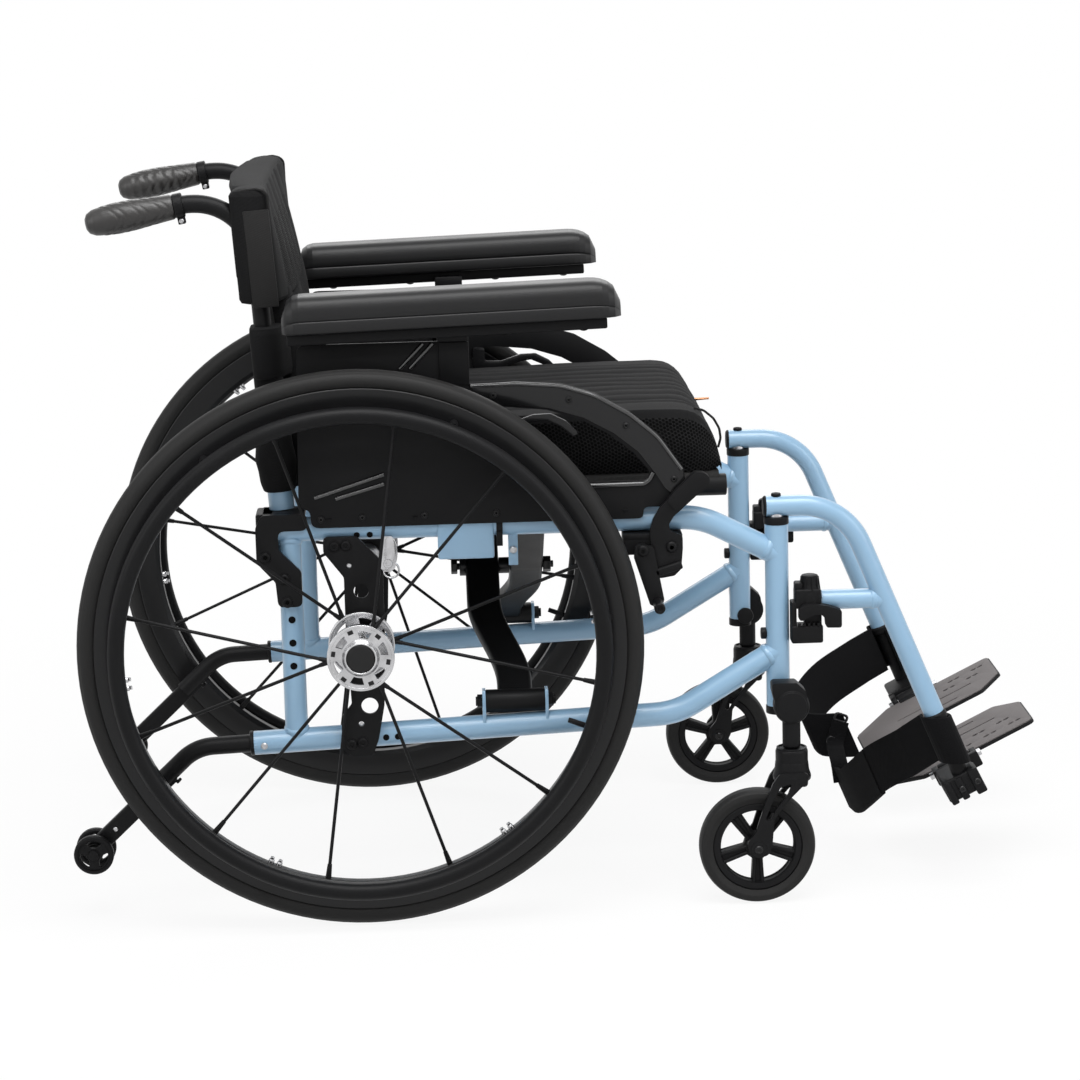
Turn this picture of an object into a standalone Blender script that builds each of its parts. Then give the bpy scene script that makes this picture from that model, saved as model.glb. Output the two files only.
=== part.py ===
"""Folding wheelchair with an X frame, for Blender 4.5.

Metres, +Z up, +X forward. The chair's right side is on -Y. While it is modelled, X is 0 at the rear
axles, Y is 0 in the middle and Z is 0 on the floor. The root empty then centres it on its own box.
Each right-hand piece is built once, and its left-hand twin is a mirrored copy of the mesh.
"""

from math import atan, atan2, cos, hypot, pi, radians, sin, tan

import bmesh
import bpy
from mathutils import Matrix, Vector

for old in list(bpy.data.objects):
    bpy.data.objects.remove(old)

# Clearances
GAP = 0.0003             # between pieces that touch on the real chair
RUN = 0.0005             # round a pin that turns in a hole

# Side frames, bent and welded from round tube. Their rails and posts place most of the chair.
FRAME_Y = 0.215
RAIL_RADIUS = 0.0127
POST_RADIUS = 0.0125
UPRIGHT_RADIUS = 0.0121
TUBE_OUT = max(RAIL_RADIUS, POST_RADIUS, UPRIGHT_RADIUS)  # what plates on the frame lie against
UPPER_RAIL_Z = 0.4145
UPRIGHT_X = -0.0726
POST_X = 0.440
POST_TOP = UPPER_RAIL_Z - 0.006
LOWER_RAIL_REAR = (-0.118, 0.185)
LOWER_RAIL_KNEE = (POST_X - 0.109, 0.2027)
LOWER_RAIL_FRONT_Z = 0.268
UPPER_RAIL_KNEE_X = POST_X - 0.080
UPPER_RAIL_DROP = 0.0418  # of its front end below its straight part
FRAME_BEND = 0.085
FRAME_HOLE_RADIUS = 0.0036
FRAME_HOLE_PITCH = 0.025

# Rear wheels
WHEEL_RADIUS = 0.295
WHEEL_STANDOFF = 0.055   # of the wheel's middle from the frame's
WHEEL_Y = FRAME_Y + WHEEL_STANDOFF
TYRE_WIDTH = 0.025
TYRE_HEIGHT = 0.0188     # over the rim's flanges
RIM_DEPTH = 0.0275
RIM_WIDTH = 0.0236
RIM_FLANGE_RADIUS = WHEEL_RADIUS - TYRE_HEIGHT
RIM_INNER_RADIUS = RIM_FLANGE_RADIUS - RIM_DEPTH
HANDRIM_RISE = 0.0033    # of its hoop over the rim's inner edge
HANDRIM_RADIUS = RIM_INNER_RADIUS + HANDRIM_RISE
HANDRIM_TUBE = 0.009
HANDRIM_OFFSET = 0.033
HANDRIM_TABS = 6
HUB_FLANGE_RADIUS = 0.035
HUB_FLANGE_SPACING = 0.062
HUB_FLANGE_THICK = 0.0045
HUB_BODY_RADIUS = 0.0125
HUB_CAP_RADIUS = 0.0155
AXLE_RADIUS = 0.0063
SPOKE_PAIRS = 6
SPOKE_RADIUS = 0.0020
SPOKE_SPREAD = radians(15)
SPOKE_PHASE = radians(65)
WHEEL_STEPS = 36

# Axle plate
AXLE_PLATE_THICK = 0.005
RECEIVER_RADIUS = 0.012

# Cross brace
PIVOT_X = 0.160
SLEEVE_RADIUS = 0.0122
SLEEVE_LENGTH = 0.063
PIVOT_CLEAR = 0.00164    # between the sleeve and the lower rail, at the sleeve's middle
RAIL_GRADE = (LOWER_RAIL_KNEE[1] - LOWER_RAIL_REAR[1]) / (LOWER_RAIL_KNEE[0] - LOWER_RAIL_REAR[0])
PIVOT_Z = (LOWER_RAIL_REAR[1] + (PIVOT_X - LOWER_RAIL_REAR[0]) * RAIL_GRADE
           + RAIL_RADIUS + SLEEVE_RADIUS + PIVOT_CLEAR)
CROSS_X = PIVOT_X - 0.00375
CROSS_Z = 0.325
ARM_WIDTH = 0.037
ARM_THICK = 0.014
ARM_SPACE = 0.0123
ARM_BEND_START = 0.030   # along the arm from its pivot
ARM_BEND_LENGTH = 0.140
PIVOT_BOLT_RADIUS = 0.005
TAB_THICK = 0.006
CROSS_BOLT_RADIUS = 0.004

# Seat rails, which the arms carry
SEAT_RAIL_INSET = 0.025  # from the frame's tubes
SEAT_RAIL_RISE = 0.0295  # over the upper rail
SEAT_RAIL_Y = FRAME_Y - SEAT_RAIL_INSET
SEAT_RAIL_Z = UPPER_RAIL_Z + SEAT_RAIL_RISE
SEAT_RAIL_RADIUS = 0.0115
SEAT_REAR = UPRIGHT_X + 0.0176
SEAT_FRONT = 0.390

# Front hangers
HANGER_RADIUS = 0.011
HANGER_RISE = 0.015      # over the post's top
HANGER_Z = POST_TOP + HANGER_RISE
HANGER_REAR_X = POST_X - 0.014
HANGER_REACH = 0.0715    # from the post to the bend
HANGER_KNEE_X = POST_X + HANGER_REACH
HANGER_SLOPE = radians(22.5)
HANGER_END_Z = 0.194
HANGER_BEND = 0.070
HANGER_BRACE_Z = 0.321
HANGER_BRACE_RADIUS = 0.0105
HANGER_PIN_RADIUS = 0.008
HANGER_PIN_LENGTH = 0.0585

# Footplates
PLATE_PITCH = radians(26.5)
PLATE_AHEAD = 0.053438   # of the hanger's end
PLATE_BELOW = 0.0625
PLATE_OUTER_Y = FRAME_Y - 0.066
PLATE_WIDTH = 0.109
PLATE_THICK = 0.005
PLATE_HINGE_OFFSET = 0.010
PLATE_PIN_RADIUS = 0.004

# Casters
CASTER_RADIUS = 0.062
STEM_X = POST_X + 0.011
STEM_Y = FRAME_Y + 0.0255
STEM_RADIUS = 0.0095
FORK_HEAD_RADIUS = 0.0172
FORK_TOP = 2 * CASTER_RADIUS + 0.0432
KNUCKLE_Z = FORK_TOP + 0.0463
KNUCKLE_RADIUS = 0.0185
POST_BOTTOM = KNUCKLE_Z - 0.0085
CASTER_TRAIL = 0.038
CASTER_WIDTH = 0.026
CASTER_TYRE_HEIGHT = 0.014
CASTER_RIM_RADIUS = CASTER_RADIUS - CASTER_TYRE_HEIGHT
CASTER_STEPS = 22

# Back and armrests
CANE_Y = FRAME_Y - 0.015
CANE_RADIUS = 0.0135
CANE_FOOT = (UPRIGHT_X - 0.0069, UPPER_RAIL_Z + 0.0205)
CANE_RISE = 0.177
CANE_TOP_Z = CANE_FOOT[1] + CANE_RISE
CANE_LEAN = radians(3.7)
HANDLE_RADIUS = 0.0095
HANDLE_RISE = 0.145      # over the cane's top
HANDLE_Z = CANE_TOP_Z + HANDLE_RISE
HANDLE_BEND = 0.064
GRIP_REACH = 0.0865      # from the cane's foot back to the grip
GRIP_LENGTH = 0.100
GRIP_FRONT_X = CANE_FOOT[0] - GRIP_REACH
GRIP_SLOPE = radians(10)
BACK_OVER_HANDLE = 0.0155
BACK_TOP = HANDLE_Z + BACK_OVER_HANDLE
BACK_PAD_HEIGHT = 0.1205
BACK_GAP = 0.024         # where the handle tubes show, between the pad and the lower band
BACK_BAND_HEIGHT = 0.050
BACK_CURTAIN_DROP = 0.078  # of the curtain below the lower band
BACK_HALF_WIDTH = CANE_Y + 0.015
BACK_BOW = 0.714         # radius of the pad's curve from top to bottom
PAD_Y = FRAME_Y + 0.030
PAD_WIDTH = 0.056
PAD_REAR = -0.070
PAD_FRONT = 0.2785
PAD_HEIGHT = 0.040
PAD_SLOPE = radians(1.6)
POST_BAR_X = 0.105
POST_BAR_WIDTH = 0.030
GUARD_THICK = 0.003
GUARD_Y = FRAME_Y + TUBE_OUT + 0.0033
PAD_OVER_WHEEL = 0.0355
PAD_BASE_Z = 2 * WHEEL_RADIUS + PAD_OVER_WHEEL
PAD_LIFT = 0.0145        # of the pad over the guard
GUARD_TOP = PAD_BASE_Z - PAD_LIFT
GUARD_FOOT = UPPER_RAIL_Z + 0.0035
GUARD_HEIGHT = GUARD_TOP - GUARD_FOOT

# Wheel locks
LOCK_REACH = 0.0324      # of the lever's pin ahead of the tyre
LOCK_X = WHEEL_RADIUS + LOCK_REACH
LOCK_Z = UPPER_RAIL_Z - 0.0267
LOCK_BOSS_RADIUS = 0.0065
LOCK_PIN_RADIUS = 0.004
LOCK_SWING = radians(30)

# Anti-tip bars
TIP_REACH = 0.062        # from the rail's end to the bend
TIP_BEND_X = LOWER_RAIL_REAR[0] - TIP_REACH
TIP_RADIUS = 0.0095
TIP_ANGLE = radians(43)
TIP_WHEEL = (TIP_BEND_X - 0.1122, LOWER_RAIL_REAR[1] - 0.1128)
TIP_WHEEL_RADIUS = 0.0212
TIP_WHEEL_SPACING = 0.028

# Cushion and sling
CUSHION_HALF_WIDTH = SEAT_RAIL_Y + 0.008
CUSHION_HEIGHT = 0.0674
CUSHION_CHANNELS = 9
SLING_THICK = 0.003
SLING_SAG = 0.006

# Calf strap
STRAP_HEIGHT = 0.055
STRAP_THICK = 0.003
STRAP_DROP = 0.0285      # of its middle at the hangers below their ends

MATERIALS = {  # base colour, metallic, roughness
    "blue_paint": ((0.26, 0.43, 0.60, 1), 0.0, 0.30),
    "black_metal": ((0.012, 0.012, 0.013, 1), 0.4, 0.45),
    "black_plastic": ((0.014, 0.014, 0.014, 1), 0.0, 0.55),
    "tyre_rubber": ((0.018, 0.018, 0.018, 1), 0.0, 0.75),
    "bright_aluminium": ((0.75, 0.75, 0.76, 1), 1.0, 0.20),
    "grip_rubber": ((0.030, 0.027, 0.026, 1), 0.0, 0.60),
    "pad_foam": ((0.016, 0.016, 0.017, 1), 0.0, 0.50),
    "fabric": ((0.013, 0.013, 0.014, 1), 0.0, 0.90),
    "webbing": ((0.008, 0.008, 0.008, 1), 0.0, 0.95),
    "footplate_grey": ((0.21, 0.19, 0.19, 1), 0.0, 0.55),
}

parts = bpy.data.collections.new("folding_wheelchair")
bpy.context.scene.collection.children.link(parts)
root = bpy.data.objects.new("chair_root", None)
parts.objects.link(root)


def material(name):
    found = bpy.data.materials.get(name)
    if found:
        return found
    made = bpy.data.materials.new(name)
    made.use_nodes = True
    shader = made.node_tree.nodes["Principled BSDF"]
    colour, metallic, roughness = MATERIALS[name]
    shader.inputs["Base Color"].default_value = colour
    shader.inputs["Metallic"].default_value = metallic
    shader.inputs["Roughness"].default_value = roughness
    made.diffuse_color = colour
    return made


def closed_mesh(bm, merge=1e-6):
    """A mesh from bm, with its seams merged and its faces turned outwards."""
    bmesh.ops.remove_doubles(bm, verts=bm.verts, dist=merge)
    bmesh.ops.recalc_face_normals(bm, faces=bm.faces)
    mesh = bpy.data.meshes.new("shape")
    bm.to_mesh(mesh)
    bm.free()
    return mesh


def evaluated_mesh(obj):
    """The object's evaluated mesh, after which the object is gone."""
    bpy.context.scene.collection.objects.link(obj)
    graph = bpy.context.evaluated_depsgraph_get()
    mesh = bpy.data.meshes.new_from_object(obj.evaluated_get(graph))
    bpy.data.objects.remove(obj)
    bm = bmesh.new()
    bm.from_mesh(mesh)
    return closed_mesh(bm)


def boolean(operation, base, tools):
    """base with every mesh in tools joined to it or cut from it."""
    group = bpy.data.collections.new("tools")
    for tool in tools:
        group.objects.link(bpy.data.objects.new("tool", tool))
    bpy.context.scene.collection.children.link(group)
    obj = bpy.data.objects.new("base", base)
    modifier = obj.modifiers.new("join", "BOOLEAN")
    modifier.operation = operation
    modifier.solver = "EXACT"
    modifier.operand_type = "COLLECTION"
    modifier.collection = group
    mesh = evaluated_mesh(obj)
    for tool in list(group.objects):
        bpy.data.objects.remove(tool)
    bpy.data.collections.remove(group)
    return mesh


def union(base, *others):
    return boolean("UNION", base, others)


def cut(base, *others):
    return boolean("DIFFERENCE", base, others)


def fillet(points, radius, step=radians(14)):
    """points with each inner corner turned into an arc. radius is one number or one for each corner."""
    points = [Vector(p) for p in points]
    inner = len(points) - 2
    radii = list(radius) if hasattr(radius, "__len__") else [radius] * inner
    path = [points[0]]
    for before, corner, after, r in zip(points, points[1:], points[2:], radii):
        a, b = (before - corner).normalized(), (after - corner).normalized()
        turn = pi - a.angle(b)
        if r <= 0 or turn < 1e-3:
            path.append(corner)
            continue
        reach = r * tan(turn / 2)
        centre = corner + (a + b).normalized() * (r / cos(turn / 2))
        start, end = corner + a * reach - centre, corner + b * reach - centre
        steps = max(2, round(turn / step))
        for k in range(steps + 1):
            t = k / steps * turn
            path.append(centre + (start * sin(turn - t) + end * sin(t)) / sin(turn))
    path.append(points[-1])
    return path


def tube(path, radius, sides=12):
    """A round solid bar along path, as a bevelled curve with filled caps."""
    curve = bpy.data.curves.new("tube", "CURVE")
    curve.dimensions = "3D"
    curve.bevel_depth = radius
    curve.bevel_resolution = (sides - 4) // 2
    curve.use_fill_caps = True
    spline = curve.splines.new("POLY")
    spline.points.add(len(path) - 1)
    for point, place in zip(spline.points, path):
        point.co = (*place, 1)
    return evaluated_mesh(bpy.data.objects.new("tube", curve))


def side_path(points, y, radius=0.0, step=radians(14)):
    """Points (x, z) in the plane of a side, filleted, at this y."""
    return fillet([(x, y, z) for x, z in points], radius, step)


def bar(start, end, radius, sides=12):
    """A straight round bar."""
    start, end = Vector(start), Vector(end)
    bm = bmesh.new()
    turn = (end - start).to_track_quat("Z", "Y").to_matrix().to_4x4()
    bmesh.ops.create_cone(
        bm, cap_ends=True, segments=sides, radius1=radius, radius2=radius,
        depth=(end - start).length, matrix=Matrix.Translation((start + end) / 2) @ turn)
    return closed_mesh(bm)


def box(low, high, bevel=0.0, segments=1):
    """A block between two corners, its edges bevelled."""
    low, high = Vector(low), Vector(high)
    bm = bmesh.new()
    bmesh.ops.create_cube(bm, size=1, matrix=Matrix.Translation((low + high) / 2)
                          @ Matrix.Diagonal((*(high - low), 1)))
    if bevel:
        bmesh.ops.bevel(bm, geom=bm.edges, offset=bevel, segments=segments, profile=0.5,
                        affect="EDGES")
    return closed_mesh(bm)


def turned(profile, centre, axis="Y", steps=24):
    """profile's points (radius, distance along axis) turned round the axis through centre.

    A profile that starts and ends on the axis is open there. Any other is a closed loop."""
    bm = bmesh.new()
    ring = [bm.verts.new((r, 0, h)) for r, h in profile]
    edges = [bm.edges.new(pair) for pair in zip(ring, ring[1:])]
    if profile[0][0] > 0 or profile[-1][0] > 0:
        edges.append(bm.edges.new((ring[-1], ring[0])))
    bmesh.ops.spin(bm, geom=ring + edges, axis=(0, 0, 1), cent=(0, 0, 0), angle=2 * pi,
                   steps=steps, use_merge=False)
    turn = {"X": Matrix.Rotation(pi / 2, 4, "Y"), "Z": Matrix.Identity(4),
            "Y": Matrix.Rotation(-pi / 2, 4, "X")}[axis]
    bmesh.ops.transform(bm, verts=bm.verts, matrix=Matrix.Translation(centre) @ turn)
    return closed_mesh(bm)


def ring_points(x, y, radius, sides=12):
    return [(x + radius * cos(2 * pi * k / sides), y + radius * sin(2 * pi * k / sides))
            for k in range(sides)]


def about(point, offsets):
    """Flat points given by their offsets from this one."""
    return [(point[0] + x, point[1] + z) for x, z in offsets]


PLANES = {  # how a flat curve's own X, Y and Z lie on the chair
    "XZ": Matrix(((1, 0, 0, 0), (0, 0, -1, 0), (0, 1, 0, 0), (0, 0, 0, 1))),
    "YZ": Matrix(((0, 0, 1, 0), (1, 0, 0, 0), (0, 1, 0, 0), (0, 0, 0, 1))),
    "XY": Matrix.Identity(4)}


def plate(outlines, low, high, plane="XZ"):
    """Flat outlines in this plane, the first one filled and the others holes, extruded from low to high."""
    curve = bpy.data.curves.new("plate", "CURVE")
    curve.dimensions = "2D"
    curve.fill_mode = "BOTH"
    curve.extrude = (high - low) / 2
    for outline in outlines:
        spline = curve.splines.new("POLY")
        spline.points.add(len(outline) - 1)
        for point, place in zip(spline.points, outline):
            point.co = (place[0], place[1], 0, 1)
        spline.use_cyclic_u = True
    mesh = evaluated_mesh(bpy.data.objects.new("plate", curve))
    middle = Vector([0 if letter in plane else (low + high) / 2 for letter in "XYZ"])
    mesh.transform(Matrix.Translation(middle) @ PLANES[plane])
    return mesh


def rounded(outline, radius, step=radians(30)):
    """A closed flat outline with its corners rounded, by one radius or one for each point."""
    count = len(outline)
    radii = list(radius) if hasattr(radius, "__len__") else [radius] * count
    points = [(x, z, 0) for x, z in outline]
    path = []
    for k in range(count):
        arc = fillet([points[k - 1], points[k], points[(k + 1) % count]], radii[k], step)[1:-1]
        path += [(p.x, p.y) for p in arc]
    return path


def loft(rings):
    """A closed skin over rings with the same number of points, with flat ends."""
    bm = bmesh.new()
    rows = [[bm.verts.new(p) for p in ring] for ring in rings]
    count = len(rings[0])
    for a, b in zip(rows, rows[1:]):
        for k in range(count):
            bm.faces.new((a[k], a[(k + 1) % count], b[(k + 1) % count], b[k]))
    bm.faces.new(rows[0])
    bm.faces.new(rows[-1])
    bmesh.ops.triangulate(bm, faces=[f for f in bm.faces if len(f.verts) > 4])
    return closed_mesh(bm)


def moved(mesh, matrix):
    copy = mesh.copy()
    copy.transform(matrix)
    return copy


def place(name, mesh, slot, origin=(0, 0, 0), parent=None):
    """Makes the mesh a part of the chair, with its origin at this point."""
    mesh = mesh.copy()
    mesh.name = name
    mesh.transform(Matrix.Translation(-Vector(origin)))
    mesh.materials.clear()
    mesh.materials.append(material(slot))
    obj = bpy.data.objects.new(name, mesh)
    parts.objects.link(obj)
    obj.parent = parent or root
    obj.location = Vector(origin) - (parent.location if parent and parent != root else Vector())
    return obj


def mirrored(mesh):
    """The same shape on the other side of the chair."""
    bm = bmesh.new()
    bm.from_mesh(mesh)
    bmesh.ops.transform(bm, verts=bm.verts, matrix=Matrix.Diagonal((1, -1, 1, 1)))
    bmesh.ops.reverse_faces(bm, faces=bm.faces)
    copy = bpy.data.meshes.new("mirrored")
    bm.to_mesh(copy)
    bm.free()
    return copy


def pair(name, mesh, slot, origin=(0, 0, 0)):
    """The right-hand piece and its mirrored left-hand twin."""
    x, y, z = origin
    place(name + "_R", mesh, slot, (x, y, z))
    place(name + "_L", mirrored(mesh), slot, (x, -y, z))


def turn_about(point, axis, angle):
    point = Vector(point)
    return Matrix.Translation(point) @ Matrix.Rotation(angle, 4, axis) @ Matrix.Translation(-point)


# Rear tyre: a slick high-pressure tyre. Its foot sits between the rim's flanges.
axle_centre = Vector((0, -WHEEL_Y, WHEEL_RADIUS))
half_tyre = TYRE_WIDTH / 2
bead_half = RIM_WIDTH / 2 - 0.0026
rim_bed = RIM_FLANGE_RADIUS - 0.0044
crown = WHEEL_RADIUS - RIM_FLANGE_RADIUS
tyre_side = [
    (rim_bed + GAP, bead_half - GAP), (RIM_FLANGE_RADIUS + 0.06 * crown, bead_half - GAP),
    (RIM_FLANGE_RADIUS + 0.34 * crown, half_tyre), (RIM_FLANGE_RADIUS + 0.76 * crown, half_tyre * 0.74)]
tyre_profile = tyre_side + [(WHEEL_RADIUS, 0)] + [(r, -w) for r, w in reversed(tyre_side)]
pair("rear_tyre", turned(tyre_profile, axle_centre, steps=WHEEL_STEPS), "tyre_rubber", axle_centre)

# Rear wheel: a deep black rim, a high-flange hub and six pairs of thick spokes, three pairs from each
# flange. Both spokes of a pair start from one socket and spread to evenly spaced holes in the rim.
flange_y = HUB_FLANGE_SPACING / 2
hub_y = WHEEL_Y + 0.004
rim_profile = [
    (RIM_INNER_RADIUS, 0.0060), (RIM_INNER_RADIUS + 0.005, 0.0095), (RIM_FLANGE_RADIUS, RIM_WIDTH / 2),
    (RIM_FLANGE_RADIUS, bead_half), (rim_bed, bead_half)]
rim_profile += [(r, -w) for r, w in reversed(rim_profile)]
rim = turned(rim_profile, axle_centre, steps=WHEEL_STEPS)
bore = AXLE_RADIUS + RUN
hub_outer = hub_y + flange_y + HUB_FLANGE_THICK / 2
hub_inner = hub_y - flange_y - HUB_FLANGE_THICK / 2
hub_side = [  # radius, then -y, from the frame outwards
    (bore, hub_inner - 0.0015), (HUB_BODY_RADIUS, hub_inner - 0.0015), (HUB_FLANGE_RADIUS, hub_inner),
    (HUB_FLANGE_RADIUS, hub_inner + HUB_FLANGE_THICK), (HUB_BODY_RADIUS, hub_inner + 0.012),
    (HUB_BODY_RADIUS, hub_outer - 0.012), (HUB_FLANGE_RADIUS, hub_outer - HUB_FLANGE_THICK),
    (HUB_FLANGE_RADIUS, hub_outer), (HUB_CAP_RADIUS, hub_outer),
    (HUB_CAP_RADIUS - 0.001, hub_outer + 0.005), (0, hub_outer + 0.005), (0, hub_outer - 0.004), (bore, hub_outer - 0.004)]
hub_points = [(r, WHEEL_Y - y) for r, y in hub_side]
hub = turned(hub_points[10::-1] + hub_points[:10:-1], axle_centre, steps=12)
spokes = []
for k in range(SPOKE_PAIRS):
    socket = SPOKE_PHASE + k * 2 * pi / SPOKE_PAIRS
    from_y = -hub_y - flange_y if k % 2 == 0 else -hub_y + flange_y
    start = Vector((cos(socket), 0, sin(socket))) * (HUB_FLANGE_RADIUS - 0.003) + Vector(
        (0, from_y, WHEEL_RADIUS))
    for lean in (-SPOKE_SPREAD, SPOKE_SPREAD):
        end = Vector((cos(socket + lean), 0, sin(socket + lean))) * (RIM_INNER_RADIUS + 0.004) + axle_centre
        spokes.append(bar(start, end, SPOKE_RADIUS, 5))
pair("rear_wheel", union(rim, hub, *spokes), "black_metal", axle_centre)

# Handrim: a round hoop on short tabs that stand on the side of the rim.
hoop = [(HANDRIM_RADIUS + HANDRIM_TUBE * cos(a), HANDRIM_TUBE * sin(a) - HANDRIM_OFFSET)
        for a in (k * pi / 3 + pi / 6 for k in range(6))]
handrim = turned(hoop, axle_centre, steps=WHEEL_STEPS)
tab_radius = HANDRIM_RADIUS + 0.006
rim_lean = (RIM_WIDTH / 2 - 0.0095) / (RIM_DEPTH - 0.005)
rim_side = 0.0095 + (tab_radius - RIM_INNER_RADIUS - 0.005) * rim_lean
tab_size = 0.004
tab_foot = rim_side + tab_size * rim_lean + GAP
tabs = []
for k in range(HANDRIM_TABS):
    at = radians(186.5) + k * 2 * pi / HANDRIM_TABS
    spot = axle_centre + Vector((cos(at), 0, sin(at))) * tab_radius
    tabs.append(bar(spot - Vector((0, HANDRIM_OFFSET, 0)), spot - Vector((0, tab_foot, 0)), tab_size, 5))
pair("handrim", union(handrim, *tabs), "black_metal", axle_centre)

# Side frame: the lower rail runs into the front post, and the upper rail turns down into the rear
# upright. Two tabs on the lower rail carry the cross arm, and a block on the upper rail the seat rail.
y = -FRAME_Y
post_line = [(POST_X, y, POST_BOTTOM), (POST_X, y, POST_TOP)]
lower_rail = tube(side_path([LOWER_RAIL_REAR, LOWER_RAIL_KNEE, (POST_X, LOWER_RAIL_FRONT_Z)], y,
                            FRAME_BEND),
                  RAIL_RADIUS)
rail_slope = atan(RAIL_GRADE)


def lower_rail_z(x):
    return LOWER_RAIL_REAR[1] + (x - LOWER_RAIL_REAR[0]) * RAIL_GRADE


upright = tube([(UPRIGHT_X, y, lower_rail_z(UPRIGHT_X)), (UPRIGHT_X, y, UPPER_RAIL_Z)], UPRIGHT_RADIUS)
upper_rail = tube(side_path([(UPRIGHT_X - UPRIGHT_RADIUS, UPPER_RAIL_Z), (UPPER_RAIL_KNEE_X, UPPER_RAIL_Z),
                             (POST_X, UPPER_RAIL_Z - UPPER_RAIL_DROP)], y, FRAME_BEND), RAIL_RADIUS)
tab_inner = SLEEVE_LENGTH / 2 + 2 * GAP
tab_top = PIVOT_Z + 0.0125
frame_pieces = [lower_rail, upright, upper_rail]
for side in (-1, 1):
    near, far = PIVOT_X + side * tab_inner, PIVOT_X + side * (tab_inner + TAB_THICK)
    low_z = lower_rail_z(PIVOT_X)
    outline = rounded([(y - 0.011, low_z), (y + 0.011, low_z), (y + 0.011, tab_top), (y - 0.011, tab_top)],
                      (0, 0, 0.009, 0.009))
    frame_pieces.append(plate([outline], min(near, far), max(near, far), "YZ"))
bolt_reach = tab_inner + TAB_THICK
pivot_bolt = bar((PIVOT_X - bolt_reach - 0.002, y, PIVOT_Z), (PIVOT_X + bolt_reach + 0.003, y, PIVOT_Z),
                 PIVOT_BOLT_RADIUS)
frame_pieces += [
    pivot_bolt,
    bar((PIVOT_X - bolt_reach - 0.006, y, PIVOT_Z), (PIVOT_X - bolt_reach + 0.001, y, PIVOT_Z), 0.0075, 8),
    bar((PIVOT_X + bolt_reach - 0.001, y, PIVOT_Z), (PIVOT_X + bolt_reach + 0.006, y, PIVOT_Z), 0.0075, 6)]
block_rear, block_length = PIVOT_X - 0.077, 0.059
block = box((block_rear, y - RAIL_RADIUS - 0.0014, UPPER_RAIL_Z - 0.0349),
            (block_rear + block_length, y + RAIL_RADIUS + 0.0021, UPPER_RAIL_Z + 0.0155), 0.003)
ledge = box((block_rear + 0.002, y + 0.010, UPPER_RAIL_Z - 0.0025),
            (block_rear + 0.026, -SEAT_RAIL_Y + 0.012, SEAT_RAIL_Z - SEAT_RAIL_RADIUS - GAP))
link_tab = box((PIVOT_X - 0.003, y - 0.002, UPPER_RAIL_Z - 0.0455),
               (PIVOT_X + 0.007, y + 0.002, UPPER_RAIL_Z - 0.006))
frame_pieces += [block, ledge, link_tab]
holes = []
for k in range(3):
    z = UPPER_RAIL_Z - 0.0945 - k * FRAME_HOLE_PITCH
    holes.append(bar((UPRIGHT_X, y - 0.02, z), (UPRIGHT_X, y - 0.008, z), FRAME_HOLE_RADIUS, 8))
for x in (0.010, 0.022):
    holes.append(bar((x, y - 0.02, lower_rail_z(x) - 0.004), (x, y - 0.008, lower_rail_z(x) - 0.004),
                     FRAME_HOLE_RADIUS, 8))
post = tube(post_line, POST_RADIUS)
hanger_pin_end = HANGER_Z - HANGER_PIN_LENGTH
holes.append(bar((POST_X, y, hanger_pin_end - 0.002), (POST_X, y, POST_TOP + 0.01),
                 HANGER_PIN_RADIUS + RUN))
knuckle_bolt_x, knuckle_bolt_radius = STEM_X - 0.006, 0.004
holes.append(bar((knuckle_bolt_x, y - 0.03, KNUCKLE_Z), (knuckle_bolt_x, y + 0.03, KNUCKLE_Z),
                 knuckle_bolt_radius + GAP, 8))
side_frame = cut(union(post, *frame_pieces), *holes)
pair("side_frame", side_frame, "blue_paint")

# Axle plate: a black alloy plate bolted across both rails, with a row of axle positions.
plate_inner = FRAME_Y + TUBE_OUT + GAP
plate_outer = plate_inner + AXLE_PLATE_THICK
rail_low, rail_high = lower_rail_z(0), UPPER_RAIL_Z
axle_outline = rounded(
    [(-0.037, rail_high - 0.0063), (-0.037, rail_high - 0.0225), (-0.0165, rail_high - 0.0495),
     (-0.0165, WHEEL_RADIUS + 0.005), (-0.013, rail_low + 0.03835), (-0.0246, rail_low + 0.02435),
     (-0.0246, rail_low - 0.00965), (-0.014, rail_low - 0.01815), (0.008, rail_low - 0.01815),
     (0.0145, rail_low + 0.00035), (0.0215, rail_low + 0.03635), (0.0245, WHEEL_RADIUS + 0.005),
     (0.0245, rail_high - 0.0345), (-0.002, rail_high - 0.0063)],
    (0.005, 0.005, 0, 0, 0, 0, 0, 0.005, 0.005, 0, 0, 0, 0, 0.005), radians(60))
axle_holes = [ring_points(0, WHEEL_RADIUS, RECEIVER_RADIUS + GAP, 16),
              ring_points(0.006, WHEEL_RADIUS - 0.0694, 0.009, 12),
              ring_points(0.001, WHEEL_RADIUS + 0.0546, 0.0078, 12)]
plate_bolts = [bar((x, -plate_outer - 0.003, z), (x, -plate_outer + 0.001, z), 0.0048, 6)
               for x, z in ((-0.0255, rail_high - 0.0163), (-0.0133, rail_high - 0.0156),
                            (-0.0143, rail_low - 0.00525), (-0.0026, rail_low - 0.00345))]
clamp_bar = box((0.0225, -plate_outer + 0.001, rail_high - 0.042),
                (0.0375, -plate_inner - 0.001, rail_high - 0.007))
cable_ring = turned([(0.0075 + 0.0018 * cos(k * pi / 2 + pi / 4),
                      0.0018 * sin(k * pi / 2 + pi / 4)) for k in range(4)],
                    (0.0315, -(plate_inner + plate_outer) / 2, rail_high - 0.049), steps=8)
axle_plate = union(plate([axle_outline] + axle_holes, -plate_outer, -plate_inner), *plate_bolts,
                   union(clamp_bar, cable_ring))
pair("axle_plate", axle_plate, "black_metal")

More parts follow.
